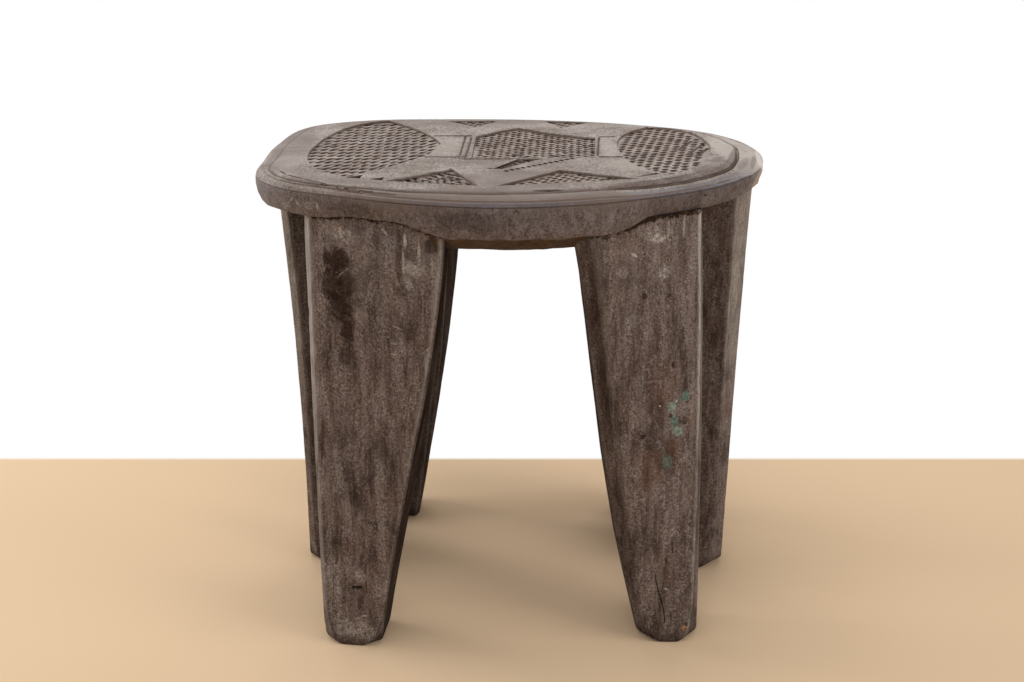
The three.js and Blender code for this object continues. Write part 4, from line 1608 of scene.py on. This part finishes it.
def seat_stains() -> tuple[Stain, ...]:
    """The seat's own marks, on its top and its band."""
    return (
        Stain((5, -90, 351), (52, 40, REACH), SHADE, 0.8, ragged=1.2),
        Stain((-120, 140, 351), (80, 28, REACH), SHADE, 0.8),
        Stain((60, 140, 351), (90, 20, REACH), SHADE, 0.75),
        Stain((-172, 20, 351), (20, 90, REACH), SHADE, 0.8),
        Stain((-10, -136, 350), (140, 20, REACH), SHADE, 0.9, ragged=1.2),
        Stain((-30, 136, 351), (60, 16, REACH), SHADE, 0.5),
        Stain((-125, -104, 350), (50, 22, REACH), SHADE, 0.5, (0, 0, -30)),
        Stain((-52, 25, 351), (14, 42, REACH), PALE_WOOD_AND_LIGHT, 0.3),
        Stain((73, 22, 351), (8, 40, REACH), PALE_WOOD_AND_LIGHT, 0.45),
        Stain((165, 20, 351), (16, 60, REACH), PALE_WOOD_AND_LIGHT, 0.85),
        Stain((92, -42, 351), (34, 26, REACH), PALE_WOOD_AND_LIGHT, 0.5),
        Stain((172, -30, 350), (14, 36, REACH), PALE_WOOD_AND_LIGHT, 0.5, (0, 0, -20)),
        Stain((60, 115, 351), (70, 12, REACH), PALE_WOOD_AND_LIGHT, 0.3),
        Stain((-110, 40, 350), (22, 30, REACH), PALE_WOOD_AND_LIGHT, 0.3, speckle=0.9),
        spot((-30, -152, 336), 34, 7, SOOT, 0.4, ragged=1.8),
        spot((-115, -128, 338), 26, 6, SOOT, 0.4, ragged=1.8),
        spot((-160, -100, 336), 5, 6, CHALK, 0.3, speckle=0.9),
        spot((-140, -114, 337), 7, 4, CHALK, 0.25, speckle=0.9),
        stroke((-155, -104, 340), 0.5, 2.6, CHALK, 0.45, 35),
        stroke((-151, -106, 338), 0.5, 2.2, CHALK, 0.45, -20),
        stroke((-136, -115, 337), 0.5, 3, CHALK, 0.45, 5),
        stroke((-144, -111, 335), 0.4, 2.2, CHALK, 0.4, -65),
        spot((135, -98, 337), 6, 5, CHALK, 0.42, speckle=0.85),
        # Painted shade on the rim groove's inner slope.
        Stain((114, -84, 350), (14, 5, 5), GROOVE_SHADE, 0.75, (0, 0, 42), 0.8),
        Stain((135, -58, 350), (18, 5, 5), GROOVE_SHADE, 0.8, (0, 0, 60), 0.8),
        Stain((151, -26, 350), (16, 5, 5), PALE_GROOVE_SHADE, 0.65, (0, 0, 70), 0.8),
        # Pale right end of the rim: partly paler wood, partly painted highlight.
        Stain((184, 4, 344), (12, 46, 12), PALE_WOOD_AND_LIGHT, 0.95),
        # Lighter left end of the band: painted light.
        Stain((-190, -10, 338), (12, 60, 12), PALE_WOOD_AND_LIGHT, 0.7),
        Stain((-150, -91, 350), (24, 3.6, 5), CRACK_BROWN, 0.7, (0, 0, -46), 1.6, 0.5),
        Stain((-116, -118, 349), (26, 3.6, 5), CRACK_BROWN, 0.6, (0, 0, -30), 1.6, 0.5),
        Stain((-174, -50, 350), (3.6, 14, 5), CRACK_BROWN, 0.6, (0, 0, 12), 1.6, 0.5),
        Stain((170, -27, 347), (4, 24, 6), DULL_SHADE, 0.5, (0, 0, -18), 1.2),
        Stain((182, -32, 338), (9, 16, 10), RAW_WOOD, 0.7),
        # Darker right front of the band: painted shade.
        Stain((128, -104, 338), (70, 14, 12), SOOT, 0.3, (0, 0, 38)),
        # A dark and a light streak along the right rim: painted shade and painted highlight.
        Stain((180, -14, 348), (2.5, 26, 4), STEP_SHADE, 0.7, (0, 0, -12), 1.2),
        Stain((186, -2, 346), (2.2, 34, 5), RIM_HIGHLIGHT, 0.55, (0, 0, -5), 1.0),
        Stain((-22, -42, 351), (26, 9, REACH), SHADE, 0.5, (0, 0, -10)),
        Stain((-168, -30, 351), (14, 30, REACH), PALE_WOOD_AND_LIGHT, 0.35),
        Stain((-178, 85, 351), (16, 42, REACH), SHADE, 0.7),
        Stain((-30, 122, 351), (50, 20, REACH), SHADE, 0.45),
    )


def stool_legs() -> list[TaperedLeg]:
    """The six legs, anticlockwise from the front left one, with their own marks."""
    left_stains = (
        spot((-124, -116, 298), 13.1, 10.8, SOOT, 0.85, ragged=1.9),
        spot((-129, -114, 281), 9, 14.4, SOOT, 0.8, ragged=1.9),
        spot((-118, -120, 283), 7.6, 12.2, SOOT, 0.65, ragged=1.9),
        spot((-124, -118, 266), 10.3, 12.2, SOOT, 0.8, ragged=2),
        spot((-118, -122, 249), 6.2, 13.6, SOOT, 0.7, ragged=2),
        spot((-120, -122, 230), 5.5, 8.6, SOOT, 0.6, ragged=2),
        spot((-126, -122, 166), 5.5, 10, SOOT, 0.35, ragged=2),
        spot((-79, -135, 306), 2.8, 21.5, SOOT, 0.5, ragged=1.6),
        spot((-95, -129, 317), 2.8, 10, SOOT, 0.45),
        spot((-78, -136, 282), 5.5, 5.7, SOOT, 0.4),
        spot((-56, -141, 316), 6.2, 7.2, SOOT, 0.65, ragged=1.8),
        spot((-53, -142, 318), 3.4, 2.2, OCHRE, 0.8, ragged=1.8),
        spot((-124, -115, 323), 3.4, 2.2, OCHRE, 0.5),
        spot((-105, -125, 302), 6.2, 7.9, ASH, 0.5, ragged=1.2, speckle=0.2),
        spot((-117, -119, 317), 8.3, 5.7, CHALK, 0.55, speckle=0.85),
        spot((-126, -114, 321), 8.3, 6.5, CHALK, 0.4, speckle=0.9),
        spot((-85, -132, 316), 7.6, 5, SLATE, 0.5, ragged=1.6),
        spot((-88, -132, 306), 9, 6.5, ASH, 0.45, speckle=0.5),
        spot((-98, -127, 322), 6.9, 5.7, SLATE, 0.4),
        spot((-70, -138, 299), 8.3, 5.7, CHALK, 0.8, ragged=1.8, speckle=0.7),
        spot((-73, -137, 288), 3.4, 5, CHALK, 0.6, speckle=0.6),
        spot((-74.7, -136, 318), 1.4, 5.7, CHALK, 0.75, ragged=0.9, speckle=0.2),
        spot((-76.4, -136, 303.1), 1.1, 11.5, CHALK, 0.5, ragged=0.9, speckle=0.4),
        spot((-65.2, -139, 309.6), 1.1, 10, CHALK, 0.6, ragged=0.9, speckle=0.4),
        spot((-56.4, -141, 301.8), 1, 15.8, CHALK, 0.45, ragged=0.8, speckle=0.5),
        stroke((-88.9, -131, 322.9), 1.1, 3.8, CHALK, 0.37, -43),
        spot((-88, -133, 275), 13.8, 11.5, ASH, 0.4, speckle=0.6),
        spot((-107, -126, 262), 5.5, 5.7, ASH, 0.45, ragged=1.4),
        spot((-55, -141, 278), 2.8, 28.7, ASH, 0.4, speckle=0.5),
        spot((-141, -108, 267), 2.1, 43.1, ASH, 0.35, speckle=0.4),
        spot((-107, -128, 210), 2.1, 28.7, ASH, 0.5, ragged=1.6, speckle=0.3),
        spot((-93, -133, 202), 2.1, 18.7, SLATE, 0.5, ragged=1.4, speckle=0.3),
        spot((-120, -125, 157), 5.5, 10, ASH, 0.4, speckle=0.8),
        spot((-125, -125, 111), 6.2, 9.3, ASH, 0.35, ragged=1.8),
        spot((-115, -130, 59), 5.5, 5.7, CHALK, 0.6, ragged=1.8, speckle=0.7),
        spot((-134, -125, 45), 6.9, 32.3, CHALK, 0.42, ragged=1.6, speckle=0.9),
        spot((-129, -128, 15), 8.3, 8.6, CHALK, 0.6, ragged=1.6, speckle=0.8),
        spot((-114, -130, 11), 13, 8.6, CHALK, 0.6, ragged=1.6, speckle=0.85),
        spot((-120, -129, 55), 1.7, 1.4, RUST, 0.8),
        stroke((-119.3, -119, 291.3), 0.48, 8.5, CHALK, 0.5, 53),
        stroke((-123.8, -117, 287.4), 0.9, 3, CHALK, 0.59, 63),
        stroke((-129.9, -114, 278.3), 0.55, 6, CHALK, 0.28, -35),
        stroke((-126.9, -116, 261), 0.55, 6.3, CHALK, 0.43, -51),
        stroke((-124.6, -118, 261.2), 0.83, 3.8, CHALK, 0.25, -57),
        stroke((-137.2, -111, 251.6), 0.41, 6.4, CHALK, 0.22, -47),
        stroke((-119.7, -121, 242.4), 0.41, 8.3, CHALK, 0.25, -68),
        stroke((-108.5, -125, 256.6), 0.48, 5.1, CHALK, 0.28, -60),
        stroke((-85.1, -133, 282.6), 0.41, 2.8, CHALK, 0.31, -45),
        stroke((-81.1, -135, 255.4), 0.48, 4.1, CHALK, 0.34, -72),
        stroke((-84.6, -134, 243.7), 0.48, 3.5, CHALK, 0.43, -83),
        stroke((-84.7, -134, 235.8), 0.41, 2.9, CHALK, 0.37, -88),
        stroke((-61.2, -139, 240.9), 0.48, 6, CHALK, 0.37, 49),
        stroke((-112.6, -131, 26.2), 0.69, 2.1, CHALK, 0.56, 86),
        stroke((-123.1, -129, 19.3), 0.69, 1.2, CHALK, 0.43, -45),
        stroke((-109.8, -131, 6.5), 0.55, 2.9, CHALK, 0.5, 2),
        stroke((-74.2, -137, 206.2), 0.41, 9.5, SOOT, 0.75, 11, 0.3),
        stroke((-80.2, -136, 180.3), 0.48, 3.9, SOOT, 0.6, 7, 0.3),
        stroke((-135.7, -124, 54.3), 0.34, 16.2, SOOT, 0.6, 1, 0.3),
        stroke((-119.6, -129, 33.5), 0.34, 4.2, SOOT, 0.7, 2, 0.3),
        stroke((-108.2, -131, 28.1), 0.34, 7.5, SOOT, 0.6, 0, 0.3),
    )
    right_stains = (
        spot((99, -121, 316), 6.2, 3.6, CHALK, 0.85, ragged=1.8, speckle=0.7),
        spot((93, -124, 320), 9, 5, CHALK, 0.4, speckle=0.9),
        spot((78, -131, 310), 11.7, 5.7, ASH, 0.55, ragged=1.6, speckle=0.7),
        spot((74, -133, 295), 4.8, 5, CHALK, 0.35, speckle=0.7),
        spot((78, -131, 275), 6.2, 18.7, ASH, 0.4, ragged=1.8, speckle=0.6),
        spot((82, -131, 258), 6.2, 5.7, CHALK, 0.28, speckle=0.7),
        spot((104, -120, 292), 4.8, 5, CHALK, 0.85, ragged=1.8, speckle=0.85),
        spot((117.5, -111, 322), 1.1, 8.6, CHALK, 0.4, ragged=0.8, speckle=0.3),
        spot((106.2, -117, 321.5), 1.1, 7.9, CHALK, 0.35, ragged=0.8, speckle=0.3),
        spot((125, -110, 268), 3.4, 64.6, ASH, 0.4, ragged=0.9, speckle=0.3),
        spot((130, -114, 162), 2.8, 64.6, ASH, 0.3, ragged=0.9, speckle=0.3),
        spot((90, -127, 276), 2.1, 2.5, SOOT, 0.8),
        spot((108, -119, 274), 2.1, 2.2, SOOT, 0.6),
        spot((112.7, -119, 222.3), 1.4, 2.5, SOOT, 0.85, ragged=1),
        # Two tall dark strips down the left edge: painted shade on the inner facet.
        spot((56, -138, 277), 6.2, 64.6, SOOT, 0.35, ragged=1.4),
        spot((63, -133, 186), 5.5, 43.1, SOOT, 0.35, ragged=1.4),
        spot((89, -129, 211), 15.2, 21.5, SOOT, 0.22, ragged=2),
        spot((107, -122, 208), 11, 21.5, RUST, 0.3, ragged=2, speckle=0.7),
        spot((114, -122, 154), 4.8, 17.2, RUST, 0.4, ragged=2, speckle=0.5),
        spot((98, -127, 144), 12.4, 18.7, RUST, 0.18, ragged=2),
        spot((123, -116, 198), 3.6, 4.6, GREEN, 0.95, ragged=1.9, speckle=0.2),
        spot((117, -118, 195), 3.4, 2.5, GREEN, 0.75, ragged=1.9, speckle=0.5),
        spot((113, -121, 191), 3.3, 4.6, PALE_GREEN, 0.9, ragged=1.9, speckle=0.2),
        spot((115, -120, 180), 3.4, 5.2, GREEN, 0.95, ragged=1.9, speckle=0.2),
        spot((118, -119, 172), 4.3, 4.5, PALE_GREEN, 0.85, ragged=1.9, speckle=0.3),
        spot((111, -123, 149), 4.3, 6.7, GREEN, 0.9, ragged=1.9, speckle=0.35),
        spot((115.9, -119, 194.7), 1.4, 1.1, CHALK, 0.7),
        spot((112, -122, 184), 1.7, 2.2, SOOT, 0.8),
        spot((123, -117, 179), 2.8, 3.6, SOOT, 0.6),
        spot((92, -129, 171), 2.1, 2.2, SOOT, 0.85, ragged=1.8),
        spot((103.9, -124, 192.9), 1, 0.7, CHALK, 0.9),
        stroke((81.9, -129, 306.1), 1.03, 2.8, CHALK, 0.62, -54),
        stroke((103.7, -123, 229.6), 0.41, 5.1, CHALK, 0.22, 80),
        stroke((97.5, -125, 212.2), 0.41, 14.6, CHALK, 0.17, -87),
        stroke((67.6, -134, 234.5), 0.48, 2.8, CHALK, 0.19, -26),
        stroke((83.7, -130, 171), 0.55, 8.9, CHALK, 0.14, -60),
        stroke((113.3, -125, 46.1), 0.62, 2.4, CHALK, 0.56, -63),
        stroke((105.3, -126, 93.4), 0.55, 11.2, CHALK, 0.12, -2),
        spot((128, -124, 12), 1.7, 2.2, FRESH_WOOD, 0.85, ragged=0.4),
        spot((129.8, -123, 14.9), 1.4, 2.2, SOOT, 0.8),
    )
    right_cracks = (
        Crack(
            (
                (104.5, 59.2), (105.9, 51.2), (107.3, 45.2), (109.8, 37.1), (111.5, 31.1),
                (112.5, 25.1), (113.5, 17.3),
            ),
            0.9, 1.8,
        ),
        Crack(((116.5, 86.1), (117.1, 75.4)), 0.9, 1.6),
        Crack(((112.4, 72.7), (112.5, 67.8)), 0.7, 1.2),
        Crack(((117.8, 26.4), (118.2, 20.5)), 0.6, 1.0),
        Crack(((100.6, 22.2), (100.8, 16.9)), 0.6, 1.0),
    )
    return [
        TaperedLeg(
            "leg_front_left", LegEnd((-145, -123), (-101, -130), 39, 3, (3.5, 2)),
            LegEnd((-152.5, -97), (-47, -143), 62, 6, (8, 1.5)),
            full_start=(2, 1), full_end=(-5, 12.5), wear=(1, 1.3), polish_and_highlight=(0.8, 0.0),
            edges=(0.9, 0.3), bevel_skew=(1.1, 0.6), inner_shade=(0.0, 0.4, 0.95, 0.85, 0.7, 0.5, 0.3, 0.0),
            stains=left_stains, cracks=(Crack(((-121.3, 48.7), (-113.7, 49.6)), 4.0, 1.8),),
        ),
        TaperedLeg(
            "leg_front_right", LegEnd((94.5, -122), (140.5, -120), 39, 4.5, (9, 8)),
            LegEnd((43, -142), (136.5, -98), 60, 5, (14, 9)),
            full_start=(9.5, -2), full_end=(3, 3), polish_and_highlight=(0.0, 0.2), edges=(0.15, 1.3),
            bevel_skew=(0.6, 0.85), arris=(3.0, 0.6),
            inner_shade=(0.0, 0.0, 0.25, 0.45, 0.6, 0.55, 0.5, 0.35),
            stains=right_stains, cracks=right_cracks,
        ),
        TaperedLeg(
            "leg_right", LegEnd((172.5, -9), (175.5, 43), 40, 1.5, (7, 8)),
            LegEnd((179, -22), (177, 74), 58, 4, (11, 9)),
            full_start=(1, 1), full_end=(3, 3), waist=1.0, wear=(2.3, 1), polish_and_highlight=(0.5, 0.3),
            inner_shade=(0.0, 0.0, 0.25, 0.45, 0.5, 0.3, 0.0, 0.0),
        ),
        TaperedLeg(
            "leg_back_right", LegEnd((141, 118), (96, 130), 40, 3, (8, 8)),
            LegEnd((137, 105), (51, 145), 58, 6, (9, 9)),
            full_start=(0, 0), full_end=(0, 2),
        ),
        TaperedLeg(
            "leg_back_left", LegEnd((-87, 130), (-131, 126), 38, 3, (8, 8)),
            LegEnd((-42.5, 148), (-140, 136), 60, 6, (9, 9)),
            full_start=(7.5, 9.5), full_end=(0, 0),
            inner_shade=(0.0, 0.0, 0.3, 0.65, 0.7, 0.7, 0.7, 0.45),
        ),
        TaperedLeg(
            "leg_left", LegEnd((-173, 55), (-173, 7), 40, 1.5, (8, 4)),
            LegEnd((-180, 84), (-180, -14), 58, 5, (9, 5)),
            full_start=(3, 3), full_end=(2, 2), waist=4.0, wear=(1, 1.2), polish_and_highlight=(0.3, 0.5),
            edges=(0.8, 0.6), inner_shade=(0.35, 0.0, 0.45, 0.55, 0.55, 0.45, 0.25, 0.0),
        ),
    ]


# The studio


@dataclass(frozen=True)
class SoftLamp:
    """An area lamp: where it stands, what it is aimed at, its size in metres and its power."""

    name: str
    place: Triple
    target: Triple
    size: Point
    power: float
    colour: Triple = (1.0, 1.0, 1.0)

    def build(self) -> None:
        """Adds the lamp, unseen by the camera."""
        lamp = bpy.data.lights.new(self.name, "AREA")
        lamp.shape = "RECTANGLE"
        lamp.size, lamp.size_y = self.size
        lamp.energy = self.power
        lamp.color = self.colour
        thing = bpy.data.objects.new(self.name, lamp)
        thing.location = self.place
        aim = Vector(self.target) - Vector(self.place)
        thing.rotation_euler = aim.to_track_quat("-Z", "Y").to_euler()
        thing.visible_camera = False
        bpy.context.scene.collection.objects.link(thing)


@dataclass
class Studio:
    """A plain pale floor, a white background, soft lamps and the camera."""

    floor_colour: Tint = (229, 199, 164)
    back_colour: Tint = (236, 234, 231)
    floor_back: float = 0.22
    world_strength: float = 0.22
    camera_place: Triple = (-0.002, -1.071, 0.569)
    camera_pitch: float = 19.05
    lamps: tuple[SoftLamp, ...] = (
        SoftLamp("back_lamp", (-0.1, 1.25, 1.1), (0.0, 0.0, 0.3), (2.2, 0.9), 11.0),
        SoftLamp("left_lamp", (-1.5, 0.35, 0.7), (0.0, 0.0, 0.2), (0.9, 0.9), 13.0),
        SoftLamp("right_lamp", (1.3, -0.6, 0.8), (0.0, 0.0, 0.2), (0.9, 0.9), 8.0),
        SoftLamp("top_lamp", (-0.2, -0.3, 1.9), (0.0, 0.0, 0.3), (1.2, 1.2), 10.0),
        SoftLamp("front_lamp", (-0.2, -2.1, 1.0), (0.0, 0.0, 0.2), (1.0, 1.0), 8.0),
    )

    def world(self) -> None:
        """A soft fill light, which the camera and reflections see as plain white."""
        world = bpy.data.worlds.new("studio_world")
        world.use_nodes = True
        world.node_tree.nodes.clear()
        sheet = NodeSheet(world.node_tree)
        rays = sheet.node("ShaderNodeLightPath").outputs
        seen = sheet.sums("MAXIMUM", rays["Is Camera Ray"], rays["Is Glossy Ray"])
        seen = sheet.sums("MAXIMUM", seen, rays["Is Transmission Ray"])
        fill, white = (
            sheet.node("ShaderNodeBackground", {"Color": WHITE, "Strength": strength})
            for strength in (self.world_strength, 1.0)
        )
        both = sheet.node("ShaderNodeMixShader", {0: seen, 1: fill.outputs[0], 2: white.outputs[0]})
        sheet.node("ShaderNodeOutputWorld", {"Surface": both.outputs[0]})
        bpy.context.scene.world = world

    def floor_material(self) -> bpy.types.Material:
        """Warm and pale under the stool, plain white behind it and clear from below."""
        material = bpy.data.materials.new("studio_floor")
        material.use_nodes = True
        material.node_tree.nodes.clear()
        sheet = NodeSheet(material.node_tree)
        place = sheet.node("ShaderNodeTexCoord").outputs["Object"]
        depth = sheet.node("ShaderNodeSeparateXYZ", {0: place}).outputs["Y"]
        warm = sheet.node("ShaderNodeBsdfDiffuse", {"Color": tone(*self.floor_colour)})
        pale = sheet.node("ShaderNodeBsdfDiffuse", {"Color": tone(*self.back_colour)})
        glow = sheet.node("ShaderNodeEmission", {"Color": WHITE, "Strength": 1.0})
        camera = sheet.node("ShaderNodeLightPath").outputs["Is Camera Ray"]
        beyond = sheet.span(depth, self.floor_back - 0.004, self.floor_back + 0.004)
        below = sheet.node("ShaderNodeNewGeometry").outputs["Backfacing"]
        clear = sheet.node("ShaderNodeBsdfTransparent")

        def either(share: Socket, first: bpy.types.Node, second: bpy.types.Node) -> bpy.types.Node:
            """One of two surfaces, by a share."""
            inputs = {0: share, 1: first.outputs[0], 2: second.outputs[0]}
            return sheet.node("ShaderNodeMixShader", inputs)

        surface = either(below, either(beyond, warm, either(camera, pale, glow)), clear)
        sheet.node("ShaderNodeOutputMaterial", {"Surface": surface.outputs[0]})
        return material

    def floor(self) -> None:
        """A round level floor."""
        shape = bmesh.new()
        bmesh.ops.create_circle(shape, cap_ends=True, segments=96, radius=4.0)
        mesh = bpy.data.meshes.new("studio_floor")
        shape.to_mesh(mesh)
        shape.free()
        mesh.materials.append(self.floor_material())
        thing = bpy.data.objects.new("studio_floor", mesh)
        bpy.context.scene.collection.objects.link(thing)

    def camera(self) -> None:
        """The camera, at the photograph's angle."""
        lens = bpy.data.cameras.new("studio_camera")
        lens.lens = 50.0
        lens.sensor_width = 36.0
        thing = bpy.data.objects.new("studio_camera", lens)
        thing.location = self.camera_place
        thing.rotation_euler = (math.radians(90.0 - self.camera_pitch), 0.0, 0.0)
        bpy.context.scene.collection.objects.link(thing)
        bpy.context.scene.camera = thing

    def build(self) -> None:
        """Builds the whole studio."""
        self.camera()
        self.world()
        self.floor()
        for lamp in self.lamps:
            lamp.build()
        bpy.context.scene.view_settings.view_transform = "Standard"


def main() -> None:
    """Builds the studio and the stool, and reports each piece."""
    logging.basicConfig(level=logging.INFO, format="%(name)s: %(message)s")
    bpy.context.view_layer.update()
    Studio().build()
    shelf = EffectShelf()
    seat = CarvedSeat()
    pieces = [seat.build(SeatWood().build(shelf, seat_stains()))]
    pieces += [leg.build(seat, LegWood(), shelf) for leg in stool_legs()]
    bpy.context.view_layer.update()


if __name__ == "__main__":
    main()
